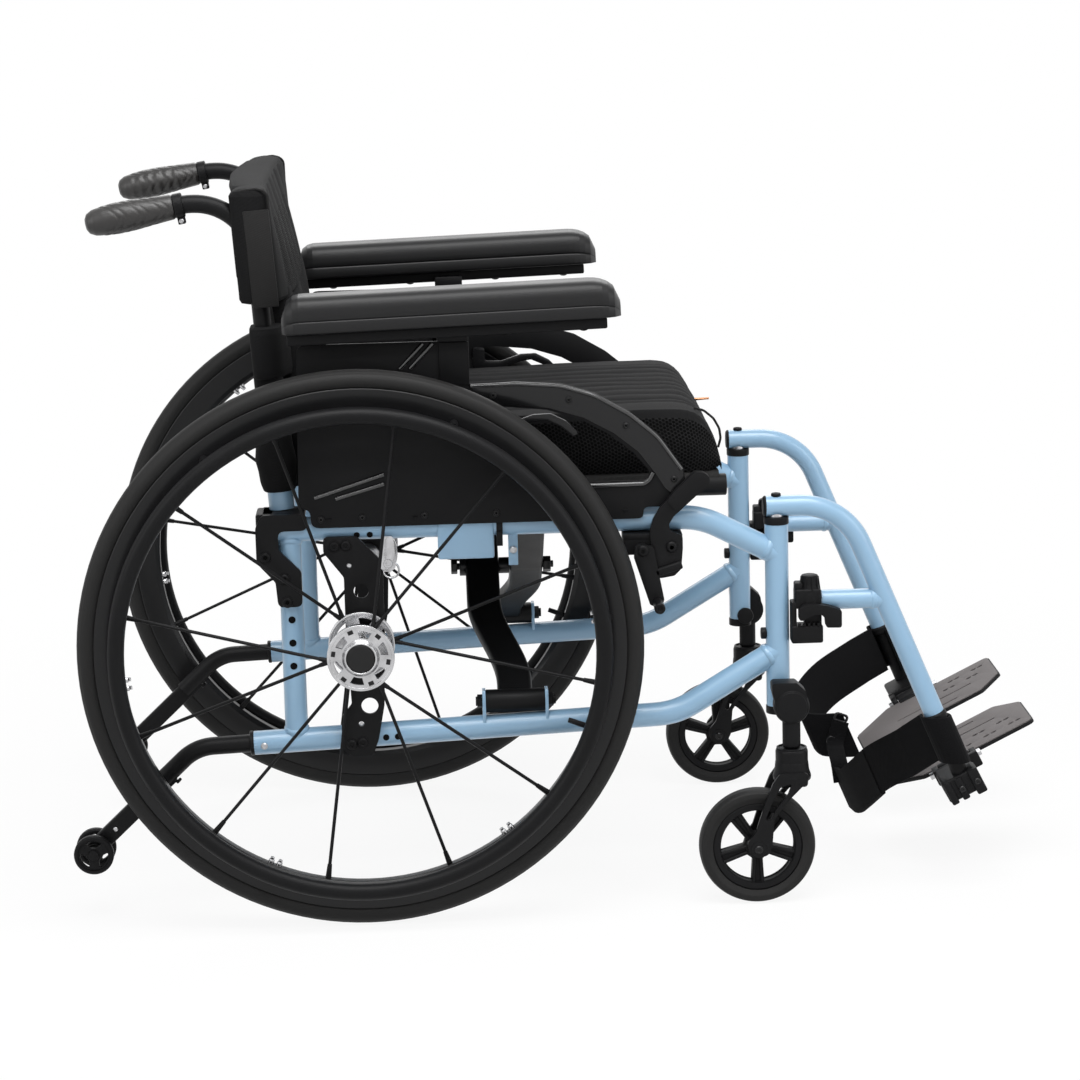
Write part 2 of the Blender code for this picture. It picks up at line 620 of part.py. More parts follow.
# Quick-release axle and its receiver, which clamps the plate between two flanges.
receiver = [  # radius, then -y
    (0, plate_inner - 0.018), (RECEIVER_RADIUS, plate_inner - 0.018),
    (RECEIVER_RADIUS + 0.003, plate_inner - 0.010), (RECEIVER_RADIUS + 0.003, plate_inner - 0.0063),
    (RECEIVER_RADIUS + 0.003, plate_inner - GAP),
    (RECEIVER_RADIUS, plate_inner - GAP), (RECEIVER_RADIUS, plate_outer + GAP),
    (RECEIVER_RADIUS + 0.003, plate_outer + GAP), (RECEIVER_RADIUS + 0.003, hub_inner - 0.0015 - 0.0008),
    (AXLE_RADIUS, hub_inner - 0.0015 - 0.0008), (AXLE_RADIUS, hub_outer - 0.006), (0, hub_outer - 0.005)]
pair("wheel_axle", turned([(r, WHEEL_Y - h) for r, h in receiver], axle_centre, steps=16),
     "bright_aluminium", axle_centre)

# Cross arms: flat bars 37 mm wide that pass each other side by side. Each turns on a lower rail by
# its sleeve, and carries the seat rail of the other side on its top end.
lower_half = hypot(FRAME_Y, CROSS_Z - PIVOT_Z)
upper_half = hypot(SEAT_RAIL_Y, SEAT_RAIL_Z - CROSS_Z)
lower_tilt = atan2(CROSS_Z - PIVOT_Z, FRAME_Y)
upper_tilt = atan2(SEAT_RAIL_Z - CROSS_Z, SEAT_RAIL_Y)


def cross_arm(offset, bolt):
    """The arm that starts on the right-hand rail, with its bar's middle at CROSS_X + offset."""
    shift = CROSS_X + offset - PIVOT_X
    stations = [0.006] + [ARM_BEND_START + ARM_BEND_LENGTH * k / 5 for k in range(6)]
    stations += [lower_half - 0.03, lower_half, lower_half + 0.03, lower_half + upper_half - 0.002]
    rings = []
    for s in stations:
        ease = min(1, max(0, (s - ARM_BEND_START) / ARM_BEND_LENGTH))
        x = PIVOT_X + shift * ease * ease * (3 - 2 * ease)
        along = min(1, max(0, (s - lower_half + 0.03) / 0.06))
        tilt = lower_tilt + (upper_tilt - lower_tilt) * along
        if s <= lower_half:
            centre = Vector((x, -FRAME_Y + s * cos(lower_tilt), PIVOT_Z + s * sin(lower_tilt)))
        else:
            centre = Vector((x, (s - lower_half) * cos(upper_tilt),
                             CROSS_Z + (s - lower_half) * sin(upper_tilt)))
        up = Vector((0, -sin(tilt), cos(tilt)))
        ring = []
        for across, over in rounded([(-1, -1), (1, -1), (1, 1), (-1, 1)], 0.0001):
            ring.append(centre + Vector((across * ARM_WIDTH / 2, 0, 0)) + up * (over * ARM_THICK / 2))
        rings.append(ring)
    bar_mesh = loft(rings)
    sleeve = bar((PIVOT_X - SLEEVE_LENGTH / 2, -FRAME_Y, PIVOT_Z),
                 (PIVOT_X + SLEEVE_LENGTH / 2, -FRAME_Y, PIVOT_Z),
                 SLEEVE_RADIUS, 16)
    rail = bar((SEAT_REAR, SEAT_RAIL_Y, SEAT_RAIL_Z), (SEAT_FRONT, SEAT_RAIL_Y, SEAT_RAIL_Z),
               SEAT_RAIL_RADIUS, 12)
    bore_cut = bar((PIVOT_X - SLEEVE_LENGTH, -FRAME_Y, PIVOT_Z),
                   (PIVOT_X + SLEEVE_LENGTH, -FRAME_Y, PIVOT_Z),
                   PIVOT_BOLT_RADIUS + RUN, 12)
    arm = cut(union(bar_mesh, sleeve, rail), bore_cut)
    middle = CROSS_X + offset
    if bolt:
        end = CROSS_X + ARM_SPACE / 2 + ARM_WIDTH
        rod = bar((middle - ARM_WIDTH / 2 - 0.016, 0, CROSS_Z), (end + 0.013, 0, CROSS_Z),
                  CROSS_BOLT_RADIUS)
        head = bar((middle - ARM_WIDTH / 2 - 0.016, 0, CROSS_Z),
                   (middle - ARM_WIDTH / 2 - 0.009, 0, CROSS_Z), 0.0085, 6)
        washer = bar((middle - ARM_WIDTH / 2 - 0.006, 0, CROSS_Z),
                     (middle - ARM_WIDTH / 2 + 0.001, 0, CROSS_Z), 0.0105, 10)
        spacer = bar((CROSS_X - ARM_SPACE / 2 - 0.001, 0, CROSS_Z),
                     (CROSS_X + ARM_SPACE / 2 - GAP, 0, CROSS_Z), 0.009, 10)
        nut = bar((end + GAP, 0, CROSS_Z), (end + 0.009, 0, CROSS_Z), 0.009, 6)
        return union(arm, rod, head, washer, spacer, nut)
    return cut(arm, bar((middle - ARM_WIDTH, 0, CROSS_Z), (middle + ARM_WIDTH, 0, CROSS_Z),
                        CROSS_BOLT_RADIUS + RUN))


arm_offset = (ARM_WIDTH + ARM_SPACE) / 2
place("cross_arm_A", cross_arm(-arm_offset, True), "black_metal", (PIVOT_X, -FRAME_Y, PIVOT_Z))
place("cross_arm_B", mirrored(cross_arm(arm_offset, False)), "black_metal", (CROSS_X, 0, CROSS_Z))

# Caster housing: a round knuckle bolted to the foot of the post, with the stem below it.
knuckle_inner = FRAME_Y + TUBE_OUT + GAP
knuckle_outer = knuckle_inner + 0.0245
housing = union(
    bar((STEM_X, -knuckle_inner, KNUCKLE_Z), (STEM_X, -knuckle_outer, KNUCKLE_Z), KNUCKLE_RADIUS, 20),
    box((POST_X - 0.010, -knuckle_outer + 0.002, KNUCKLE_Z + 0.006),
        (POST_X + 0.0185, -knuckle_inner, KNUCKLE_Z + 0.0245), 0.004),
    bar((STEM_X, -STEM_Y, KNUCKLE_Z - 0.010), (STEM_X, -STEM_Y, FORK_TOP + 0.0006), STEM_RADIUS, 16),
    bar((STEM_X, -STEM_Y, KNUCKLE_Z - 0.010), (STEM_X, -STEM_Y, FORK_TOP - 0.034), 0.006, 12),
    bar((knuckle_bolt_x, -knuckle_inner - 0.002, KNUCKLE_Z),
        (knuckle_bolt_x, -FRAME_Y + TUBE_OUT + 0.004, KNUCKLE_Z),
        knuckle_bolt_radius, 8),
    bar((knuckle_bolt_x, -FRAME_Y + TUBE_OUT + GAP, KNUCKLE_Z),
        (knuckle_bolt_x, -FRAME_Y + TUBE_OUT + 0.005, KNUCKLE_Z), 0.0095, 12))
pair("caster_housing", housing, "black_plastic")

# Caster fork: a bearing head and two open legs, each with a long slot, swept back to the axle.
leg_inner, leg_thick = CASTER_WIDTH / 2 + 0.002, 0.005
wheel_x = STEM_X - CASTER_TRAIL
head = turned([(0, FORK_TOP - 0.036), (0.0065, FORK_TOP - 0.036), (0.0065, FORK_TOP),
               (FORK_HEAD_RADIUS - 0.002, FORK_TOP), (FORK_HEAD_RADIUS, FORK_TOP - 0.004),
               (FORK_HEAD_RADIUS, FORK_TOP - 0.034), (0, FORK_TOP - 0.042)], (STEM_X, -STEM_Y, 0), "Z", 16)
crown_low = 2 * CASTER_RADIUS + 0.0022
crown_block = box((STEM_X - 0.018, -STEM_Y - leg_inner - 0.001, crown_low),
                  (STEM_X + 0.0165, -STEM_Y + leg_inner + 0.001, crown_low + 0.014))
crown_block = cut(crown_block, bar((STEM_X, -STEM_Y, crown_low + 0.004),
                                   (STEM_X, -STEM_Y, crown_low + 0.03), 0.0065))
leg_outline = rounded(
    about((STEM_X, crown_low), [(-0.022, 0.0238), (-0.036, -0.0092)])
    + about((wheel_x, CASTER_RADIUS), [(-0.006, 0.015), (-0.013, 0.007), (-0.009, -0.001), (0.005, -0.010),
                                       (0.015, -0.001), (0.017, 0.032)])
    + about((STEM_X, crown_low), [(-0.002, -0.0082), (0.011, 0.0048), (0.018, 0.0178), (0.017, 0.0238)]),
    (0, 0.03, 0, 0.005, 0.004, 0.009, 0.006, 0.03, 0, 0, 0, 0), radians(45))
leg_slot = about((STEM_X, crown_low), [(-0.002, 0.0108), (-0.018, -0.0012), (-0.029, -0.0192),
                                       (-0.032, -0.0322),
                                       (-0.026, -0.0332), (-0.009, -0.0082)])
legs = []
for inner in (-STEM_Y - leg_inner - leg_thick, -STEM_Y + leg_inner):
    legs.append(plate([leg_outline, leg_slot], inner, inner + leg_thick))
caster_axle_radius = 0.004
fork = union(head, crown_block, *legs,
             bar((wheel_x, -STEM_Y - leg_inner - leg_thick - 0.003, CASTER_RADIUS),
                 (wheel_x, -STEM_Y + leg_inner + leg_thick + 0.003, CASTER_RADIUS), caster_axle_radius, 8))
pair("caster_fork", fork, "black_metal", (STEM_X, -STEM_Y, FORK_TOP))

# Caster wheel: a five-spoke moulded wheel and its solid tyre.
caster_centre = (wheel_x, -STEM_Y, CASTER_RADIUS)
rim_half = 0.009
windows = []
for k in range(5):
    middle = pi / 2 + pi / 5 + k * 2 * pi / 5
    spread_out, spread_in = radians(27), radians(14)
    outer_r, inner_r = CASTER_RIM_RADIUS - 0.0075, 0.0165
    window = [(wheel_x + outer_r * cos(middle + spread_out * t),
               CASTER_RADIUS + outer_r * sin(middle + spread_out * t))
              for t in (-1, -0.4, 0.4, 1)]
    window += [(wheel_x + inner_r * cos(middle + spread_in * t),
                CASTER_RADIUS + inner_r * sin(middle + spread_in * t))
               for t in (1, -1)]
    windows.append(window)
caster_wheel = plate([ring_points(wheel_x, CASTER_RADIUS, CASTER_RIM_RADIUS - GAP, CASTER_STEPS)] + windows
                     + [ring_points(wheel_x, CASTER_RADIUS, caster_axle_radius + RUN, 8)],
                     -STEM_Y - rim_half, -STEM_Y + rim_half)
pair("caster_wheel", caster_wheel, "black_plastic", caster_centre)
tyre_half = CASTER_WIDTH / 2
caster_tyre = [(CASTER_RIM_RADIUS, tyre_half * 0.8), (CASTER_RADIUS - 0.006, tyre_half),
               (CASTER_RADIUS - 0.001, tyre_half * 0.6),
               (CASTER_RADIUS, 0)]
caster_tyre += [(r, -w) for r, w in reversed(caster_tyre[:-1])]
pair("caster_tyre", turned(caster_tyre, caster_centre, steps=CASTER_STEPS), "tyre_rubber", caster_centre)

# Hanger: a bent tube that drops over the front post by a pin, with a brace back to its latch.
hanger_end_x = HANGER_KNEE_X + (HANGER_Z - HANGER_END_Z) * tan(HANGER_SLOPE)
brace_x = HANGER_KNEE_X + (HANGER_Z - HANGER_BRACE_Z) * tan(HANGER_SLOPE)
hanger = union(
    tube(side_path([(HANGER_REAR_X, HANGER_Z), (HANGER_KNEE_X, HANGER_Z), (hanger_end_x, HANGER_END_Z)],
                   y, HANGER_BEND),
         HANGER_RADIUS),
    bar((POST_X + 0.047, y, HANGER_BRACE_Z), (brace_x, y, HANGER_BRACE_Z), HANGER_BRACE_RADIUS),
    bar((POST_X, y, hanger_pin_end), (POST_X, y, HANGER_Z), HANGER_PIN_RADIUS),
    bar((POST_X, y, HANGER_Z), (POST_X, y, HANGER_Z + HANGER_RADIUS + 0.003), 0.0045, 8))
pair("hanger", hanger, "blue_paint", (POST_X, y, HANGER_Z))

# Hanger latch: a thumb lever on the end of the brace that hooks the front of the post.
latch_x = POST_X + 0.032
latch_rear = POST_X + POST_RADIUS + 0.0008
brace_low, brace_high = HANGER_BRACE_Z - HANGER_BRACE_RADIUS, HANGER_BRACE_Z + HANGER_BRACE_RADIUS
latch = union(
    box((latch_rear, y - 0.018, brace_low - 0.0329), (latch_x + 0.0150, y + 0.004, brace_low - 0.0145),
        0.003),
    box((latch_rear + 0.0005, y - 0.016, brace_low - 0.0205),
        (latch_x - 0.0100, y + 0.002, brace_high - 0.0035)),
    box((latch_x - 0.0130, y - 0.019, brace_low - 0.0155),
        (latch_x + 0.0135, y + 0.006, brace_low + 0.0075)),
    box((latch_x - 0.0120, y - 0.016, brace_low - 0.0005),
        (latch_x + 0.0130, y + 0.004, brace_high + 0.0035), 0.003),
    bar((latch_x + 0.002, y - 0.006, brace_high - 0.0015),
        (latch_x + 0.002, y - 0.006, brace_high + 0.0190), 0.0092, 12),
    plate([rounded([(latch_x - 0.0100, brace_low - 0.0025), (latch_x - 0.0100, brace_low - 0.0105),
                    (latch_x + 0.0200, brace_low - 0.0105), (latch_x + 0.0335, brace_low - 0.0155),
                    (latch_x + 0.0335, brace_low + 0.0010), (latch_x + 0.0140, brace_low + 0.0075)], 0.002)],
          y - 0.0225, y - 0.0125))
pair("hanger_latch", latch, "black_plastic", (latch_x, y, brace_low - 0.0105))

# Footplate clamp: a collar and an extension tube below the hanger, with a block that carries the hinge.
down = Vector((sin(HANGER_SLOPE), 0, -cos(HANGER_SLOPE)))
hanger_foot = Vector((hanger_end_x, y, HANGER_END_Z))
along = Vector((cos(PLATE_PITCH), 0, sin(PLATE_PITCH)))
above = Vector((-sin(PLATE_PITCH), 0, cos(PLATE_PITCH)))
hinge_y = -PLATE_OUTER_Y - PLATE_HINGE_OFFSET
hinge = Vector((hanger_end_x + PLATE_AHEAD, hinge_y, HANGER_END_Z - PLATE_BELOW)) - along * 0.024
lug_inner, lug_thick, lug_radius = 0.0195, 0.0065, 0.008
pitch_turn = Matrix.Rotation(-PLATE_PITCH, 4, "Y")


def on_plate(mesh):
    """Moves a mesh from plate axes, u along the plate, y across and w up, to its place on the chair."""
    return moved(mesh, Matrix.Translation((hinge.x, 0, hinge.z)) @ pitch_turn)


lug_outline = rounded([(hinge_y - 0.014, -lug_radius), (hinge_y + lug_radius, -lug_radius),
                       (hinge_y + lug_radius, lug_radius), (hinge_y - 0.014, lug_radius)],
                      (0, lug_radius * 0.98, lug_radius * 0.98, 0))
lugs = [on_plate(plate([lug_outline], u, u + lug_thick, "YZ")) for u in (-lug_inner - lug_thick, lug_inner)]
lug_base = on_plate(box((-lug_inner - lug_thick - 0.0005, hinge_y - 0.0200, -0.0087),
                        (lug_inner + lug_thick + 0.0005, hinge_y - 0.0120, 0.0083)))
clamp_block = on_plate(box((-0.0250, y - 0.0125, -0.0165), (0.0155, hinge_y - 0.0125, 0.0090), 0.003))
ribs = [on_plate(box((u, y - 0.0145, -0.0190), (u + 0.008, y + 0.010, 0.0070))) for u in (-0.0235, -0.0110)]
ribs.append(on_plate(box((0.0060, y - 0.0155, -0.0205), (0.0165, y + 0.010, 0.0085))))
extension = bar(hanger_foot + down * 0.001, hanger_foot + down * 0.082, 0.0088, 12)
collar = bar(hanger_foot + down * GAP, hanger_foot + down * 0.009, 0.0125, 16)
clamp = union(clamp_block, extension, collar, lug_base, *lugs, *ribs)
clamp = cut(clamp, on_plate(bar((-0.04, hinge_y, 0), (0.04, hinge_y, 0), PLATE_PIN_RADIUS + RUN, 12)))
pair("footplate_clamp", clamp, "black_plastic")

# Hinge pin of the footplate.
pair("footplate_pin", on_plate(bar((-0.031, hinge_y, 0), (0.031, hinge_y, 0), PLATE_PIN_RADIUS, 12)),
     "bright_aluminium", hinge)

# Footplate: a flat tread with long grooves and rows of slots, on a knuckle round the pin.
outer, inner = hinge_y + PLATE_HINGE_OFFSET, hinge_y + PLATE_HINGE_OFFSET + PLATE_WIDTH
plate_outline = rounded([(-0.036, outer), (0.098, outer), (0.098, outer + 0.080), (0.070, inner),
                         (-0.082, inner),
                         (-0.082, outer + 0.045)], (0.006, 0.008, 0.010, 0.010, 0.006, 0.006), radians(45))
slots = []
for row, across in enumerate((0.020, 0.042)):
    for k in range(3):
        u = 0.012 + 0.030 * k - 0.010 * row
        v = outer + across + 0.0008 * (k % 2)
        slots.append([(u, v), (u + 0.014, v + 0.0003), (u + 0.0155, v + 0.0023), (u + 0.014, v + 0.0043),
                      (u, v + 0.004), (u - 0.0015, v + 0.002)])
for across, reach in ((0.066, 0.062), (0.092, 0.040)):
    v = outer + across
    slots.append([(-0.030, v), (reach, v), (reach + 0.001, v + 0.0015), (reach, v + 0.003),
                  (-0.030, v + 0.003), (-0.031, v + 0.0015)])
tread = plate([plate_outline] + slots, -PLATE_THICK / 2, PLATE_THICK / 2, "XY")
knuckle = union(bar((-lug_inner + RUN, hinge_y, 0), (lug_inner - RUN, hinge_y, 0), 0.0078, 12),
                box((-lug_inner + 2 * RUN, hinge_y, -0.0040), (lug_inner - 2 * RUN, outer + 0.008, 0.0042)))
knuckle = cut(union(knuckle, tread), bar((-0.04, hinge_y, 0), (0.04, hinge_y, 0), PLATE_PIN_RADIUS + RUN,
                                         12))
pair("footplate", on_plate(knuckle), "footplate_grey", hinge)

# Wheel lock: a bracket clamped under the upper rail, a long lever and a shoe with a cross rod.
lever_pin, shoe_pin = (LOCK_X, LOCK_Z), (LOCK_X - 0.0304, LOCK_Z - 0.0022)
bracket_outer = FRAME_Y + TUBE_OUT + 0.0058
lever_low, lever_high = -bracket_outer - 0.006, -bracket_outer - GAP
shoe_low, shoe_high = lever_low - 0.0055, lever_low - GAP

bracket = union(
    box((LOCK_X - 0.0504, -bracket_outer, LOCK_Z - 0.0088),
        (LOCK_X + 0.0121, -FRAME_Y + 0.012, UPPER_RAIL_Z - RAIL_RADIUS - GAP), 0.002),
    bar((lever_pin[0], -bracket_outer + 0.001, lever_pin[1]),
        (lever_pin[0], lever_low - 0.003, lever_pin[1]),
        LOCK_PIN_RADIUS, 10),
    bar((lever_pin[0], lever_low - 0.003, lever_pin[1]), (lever_pin[0], lever_low - GAP, lever_pin[1]),
        LOCK_PIN_RADIUS + 0.0022, 10),
    bar((shoe_pin[0], -bracket_outer + 0.001, shoe_pin[1]), (shoe_pin[0], shoe_low - 0.003, shoe_pin[1]),
        LOCK_PIN_RADIUS, 10),
    bar((shoe_pin[0], shoe_low - 0.003, shoe_pin[1]), (shoe_pin[0], shoe_low - GAP, shoe_pin[1]),
        LOCK_PIN_RADIUS + 0.0022, 10),
    bar((shoe_pin[0], -bracket_outer + 0.001, shoe_pin[1]), (shoe_pin[0], lever_low + 0.0005, shoe_pin[1]),
        LOCK_BOSS_RADIUS, 10))
pair("wheel_lock_bracket", bracket, "black_plastic")
lever_outline = rounded(
    about(lever_pin, [
        (0.0356, 0.0762), (0.0266, 0.0782), (-0.0159, 0.0392), (-0.0224, 0.0202), (-0.0214, -0.0178),
        (-0.0174, -0.0318), (0.0026, -0.0318), (0.0101, -0.0238), (0.0121, 0.0122), (-0.0034, 0.0182),
        (-0.0019, 0.0272), (0.0386, 0.0642)]),
    (0.005, 0.005, 0.006, 0.006, 0.006, 0.003, 0.005, 0.004, 0.002, 0.002, 0.006, 0.006), radians(35))
lever = plate([lever_outline, ring_points(*lever_pin, LOCK_PIN_RADIUS + RUN, 10)], lever_low, lever_high)
# The shoe's boss runs in a curved notch in the lever's rear edge, from open air to the lever's last angle.
boss_reach = hypot(shoe_pin[0] - lever_pin[0], shoe_pin[1] - lever_pin[1])
boss_angle = atan2(shoe_pin[1] - lever_pin[1], shoe_pin[0] - lever_pin[0])
notch_half = LOCK_BOSS_RADIUS + RUN
notch_end = boss_angle + LOCK_SWING
notch = [(boss_reach + notch_half, boss_angle + t * LOCK_SWING) for t in (-1, -0.5, 0, 0.5, 1)]
notch = [(r * cos(a), r * sin(a)) for r, a in notch]
for t in (pi / 6, pi / 3, pi / 2, 2 * pi / 3, 5 * pi / 6):
    notch.append((boss_reach * cos(notch_end) + notch_half * cos(notch_end + t),
                  boss_reach * sin(notch_end) + notch_half * sin(notch_end + t)))
notch += [((boss_reach - notch_half) * cos(a), (boss_reach - notch_half) * sin(a))
          for a in (boss_angle + t * LOCK_SWING for t in (1, 0.5, 0, -0.5, -1))]
lever = cut(lever, plate([about(lever_pin, notch)], lever_low - 0.001, lever_high + 0.001))
pair("wheel_lock_lever", lever, "black_metal", (lever_pin[0], lever_high, lever_pin[1]))
rod_centre = about(shoe_pin, [(0.0147, -0.0561)])[0]
shoe_outline = rounded(about(shoe_pin, [
    (-0.0080, 0.0074), (-0.0095, -0.0076), (0.0065, -0.0581), (0.0185, -0.0621), (0.0215, -0.0526),
    (0.0110, 0.0044)]), 0.003, radians(60))
shoe = union(plate([shoe_outline, ring_points(*shoe_pin, LOCK_PIN_RADIUS + RUN, 10)], shoe_low, shoe_high),
             bar((rod_centre[0], shoe_high - 0.001, rod_centre[1]),
                 (rod_centre[0], -WHEEL_Y - half_tyre, rod_centre[1]), 0.0055, 12))
pair("wheel_lock_shoe", shoe, "black_metal", (shoe_pin[0], shoe_high, shoe_pin[1]))

# Back bracket: a black hook plate round the frame's rear corner, with a step that the cane stands on.
hook_inner = plate_inner
hook_outer = hook_inner + 0.006
frame_corner = (UPRIGHT_X, UPPER_RAIL_Z)
hook_outline = rounded(
    about(frame_corner, [
        (-0.0274, 0.0190), (-0.0344, 0.0055), (-0.0344, -0.0315), (-0.0154, -0.0527),
        (-0.0134, -0.0795), (0.0121, -0.0795), (0.0121, -0.0425), (-0.0110, -0.0185), (-0.0110, 0.0015),
        (0.0196, 0.0015), (0.0196, 0.0190)]),
    (0.006, 0.008, 0.008, 0.006, 0.003, 0.003, 0.008, 0.004, 0.004, 0.002, 0.004), radians(45))
rail_top = UPPER_RAIL_Z + RAIL_RADIUS + GAP
upright_rear = UPRIGHT_X - TUBE_OUT - GAP
cane_low = CANE_FOOT[1] - CANE_RADIUS * sin(CANE_LEAN) - GAP
hook = union(
    plate([hook_outline], -hook_outer, -hook_inner),
    box((UPRIGHT_X - 0.0274, -hook_inner - 0.001, rail_top),
        (UPRIGHT_X + 0.0176, -CANE_Y + 0.015, cane_low)),
    box((UPRIGHT_X - 0.0339, -hook_inner - 0.001, UPPER_RAIL_Z - 0.0295),
        (upright_rear - 0.001, -CANE_Y + 0.013, cane_low)),
    *[bar((x, -hook_outer - 0.0025, z), (x, -hook_outer + 0.001, z), 0.0048, 8)
      for x, z in about(frame_corner, [(-0.0249, -0.0256), (-0.0060, -0.0493), (-0.0038, -0.0741)])])
pair("back_bracket", hook, "black_plastic")

# Back cane and push handle: the handle's tube stands on the cane and turns back at the top.
lean = Vector((-sin(CANE_LEAN), 0, cos(CANE_LEAN)))
cane_foot = Vector((CANE_FOOT[0], -CANE_Y, CANE_FOOT[1]))


def cane_point(z):
    return cane_foot + lean * ((z - CANE_FOOT[1]) / lean.z)


cane_top = cane_point(CANE_TOP_Z)
pair("back_cane", bar(cane_foot, cane_top, CANE_RADIUS, 12), "blue_paint")
corner = cane_point(HANDLE_Z)
grip_back = Vector((-cos(GRIP_SLOPE), 0, -sin(GRIP_SLOPE)))
grip_start = Vector((GRIP_FRONT_X, -CANE_Y, HANDLE_Z))
grip_end = grip_start + grip_back * (GRIP_LENGTH / cos(GRIP_SLOPE))
handle_end = grip_start + grip_back * 0.085
handle_path = fillet([cane_top + lean * GAP, corner, grip_start, handle_end], (HANDLE_BEND, 0.03))
handle_tube = tube(handle_path, HANDLE_RADIUS, 10)
pair("push_handle", handle_tube, "black_metal")
grip_length = (grip_end - grip_start).length
grip_bore = HANDLE_RADIUS + 2 * GAP
grip_profile = [
    (grip_bore, 0), (0.0125, 0), (0.0125, 0.009), (0.0118, 0.010), (0.0128, 0.013), (0.0148, 0.040),
    (0.0166, 0.060), (0.0160, 0.080), (0.0125, grip_length - 0.008), (0.0060, grip_length), (0, grip_length),
    (0, 0.0865), (grip_bore, 0.0865)]
grip = turned(grip_profile[10::-1] + grip_profile[:10:-1], (0, 0, 0), "Z", 12)
grip = union(grip, box((-0.0045, 0.0112, 0.0010), (0.0045, 0.0195, 0.0085)))
grip_turn = grip_back.to_track_quat("Z", "Y").to_matrix().to_4x4()
grip.transform(Matrix.Translation(grip_start + grip_back * 0.003) @ grip_turn)
pair("push_grip", grip, "grip_rubber")

# Armrest: a foam pad on an underrail, with a flat post that slides in a channel of the side guard.
pad_mid = (PAD_REAR + PAD_FRONT) / 2
pad_turn = turn_about((PAD_REAR, 0, PAD_BASE_Z), "Y", -PAD_SLOPE)
pad_rings = []
for x, shrink in ((PAD_REAR, 0.72), (PAD_REAR + 0.006, 0.92), (PAD_REAR + 0.022, 1), (PAD_FRONT - 0.040, 1),
                  (PAD_FRONT - 0.016, 0.94), (PAD_FRONT - 0.004, 0.78), (PAD_FRONT, 0.6)):
    half, tall = PAD_WIDTH / 2 * shrink, PAD_HEIGHT * (0.35 + 0.65 * shrink)
    outline = rounded([(-half, 0), (half, 0), (half, tall * 0.86), (half * 0.45, tall),
                       (-half * 0.45, tall),
                       (-half, tall * 0.86)], (0, 0, 0.010, 0.012, 0.012, 0.010), radians(45))
    pad_rings.append([(x, -PAD_Y + across, PAD_BASE_Z + up) for across, up in outline])
pad = loft(pad_rings)
pad.transform(pad_turn)
pair("armrest_pad", pad, "pad_foam")
underrail_z = PAD_BASE_Z - GAP
bar_inner, bar_outer = GUARD_Y - GUARD_THICK / 2 - 0.0105, GUARD_Y - GUARD_THICK / 2 - 0.0025
underrail = box((PAD_REAR + 0.004, -PAD_Y - 0.015, underrail_z - 0.012),
                (PAD_FRONT - 0.014, -PAD_Y + 0.015, underrail_z),
                0.002)
underrail.transform(pad_turn)
channel_foot, channel_top = GUARD_FOOT + 0.027, GUARD_TOP - 0.055
post_left, post_right = POST_BAR_X - POST_BAR_WIDTH / 2, POST_BAR_X + POST_BAR_WIDTH / 2
armrest_post = union(underrail,
                     box((post_left, -bar_outer, channel_foot + 0.011),
                         (post_right, -bar_inner, PAD_BASE_Z)),
                     box((post_left - 0.001, -PAD_Y - 0.006, GUARD_TOP + 0.0015),
                         (post_right + 0.001, -bar_inner + 0.0002, PAD_BASE_Z)))
pair("armrest_post", armrest_post, "black_plastic")

# Side guard: a thin panel with a wide curved band along its front, an open window behind the band,
# and the channel in which the armrest's post slides.
guard_outline = rounded([(x, GUARD_FOOT + share * GUARD_HEIGHT) for x, share in (
    (UPRIGHT_X + 0.0239, 0), (UPRIGHT_X + 0.0296,
                              1), (0.1180, 1), (0.1180, 0.7539), (0.1680, 0.7694), (0.2157, 0.7513),
    (0.2508, 0.6943), (0.2868, 0.5845), (0.3166, 0.457), (0.3420, 0.2694), (0.3440, 0.1658),
    (0.3240, 0.0622), (0.2990, 0.0622), (0.2990, 0))],
    (0.004, 0.010, 0.003, 0.003, 0.06, 0.06, 0.06, 0.06, 0.03, 0.012, 0.012, 0.008, 0.002,
     0.004), radians(20))
window_outline = rounded([(x, GUARD_FOOT + share * GUARD_HEIGHT) for x, share in (
    (0.1290, 0.5648), (0.1920, 0.3161), (0.2140, 0.1969), (0.3000, 0.1969), (0.3080, 0.2487),
    (0.2900, 0.3627), (0.2650, 0.4663), (0.2350, 0.5544), (0.2000, 0.6114), (0.1600, 0.6321),
    (0.1290, 0.6321))],
    (0.004, 0, 0.006, 0.010, 0.005, 0, 0, 0, 0, 0, 0.004), radians(45))
guard_low, guard_high = -GUARD_Y - GUARD_THICK / 2, -GUARD_Y + GUARD_THICK / 2
panel = plate([guard_outline, window_outline], guard_low, guard_high)
channel_high = -bar_inner + RUN + 0.003
channel = []
for left, right in ((post_left - RUN - 0.006, post_left - RUN),
                    (post_right + RUN, post_right + RUN + 0.006)):
    channel.append(box((left, guard_high - 0.001, channel_foot), (right, channel_high, channel_top)))
channel.append(box((post_left - RUN - 0.006, -bar_inner + RUN, channel_foot),
                   (post_right + RUN + 0.006, channel_high, channel_top)))
channel.append(box((post_left, guard_low - 0.0022, GUARD_TOP - 0.046),
                   (post_right + 0.0010, guard_low + 0.001, GUARD_TOP - 0.0010)))
feet = [bar((x, guard_high - 0.001, GUARD_FOOT + 0.011),
            (x, -FRAME_Y - RAIL_RADIUS - GAP, GUARD_FOOT + 0.005), 0.004, 8)
        for x in (-0.030, 0.060, 0.200, 0.280)]
guard = union(panel, *channel, *feet)
pair("side_guard", guard, "black_plastic")

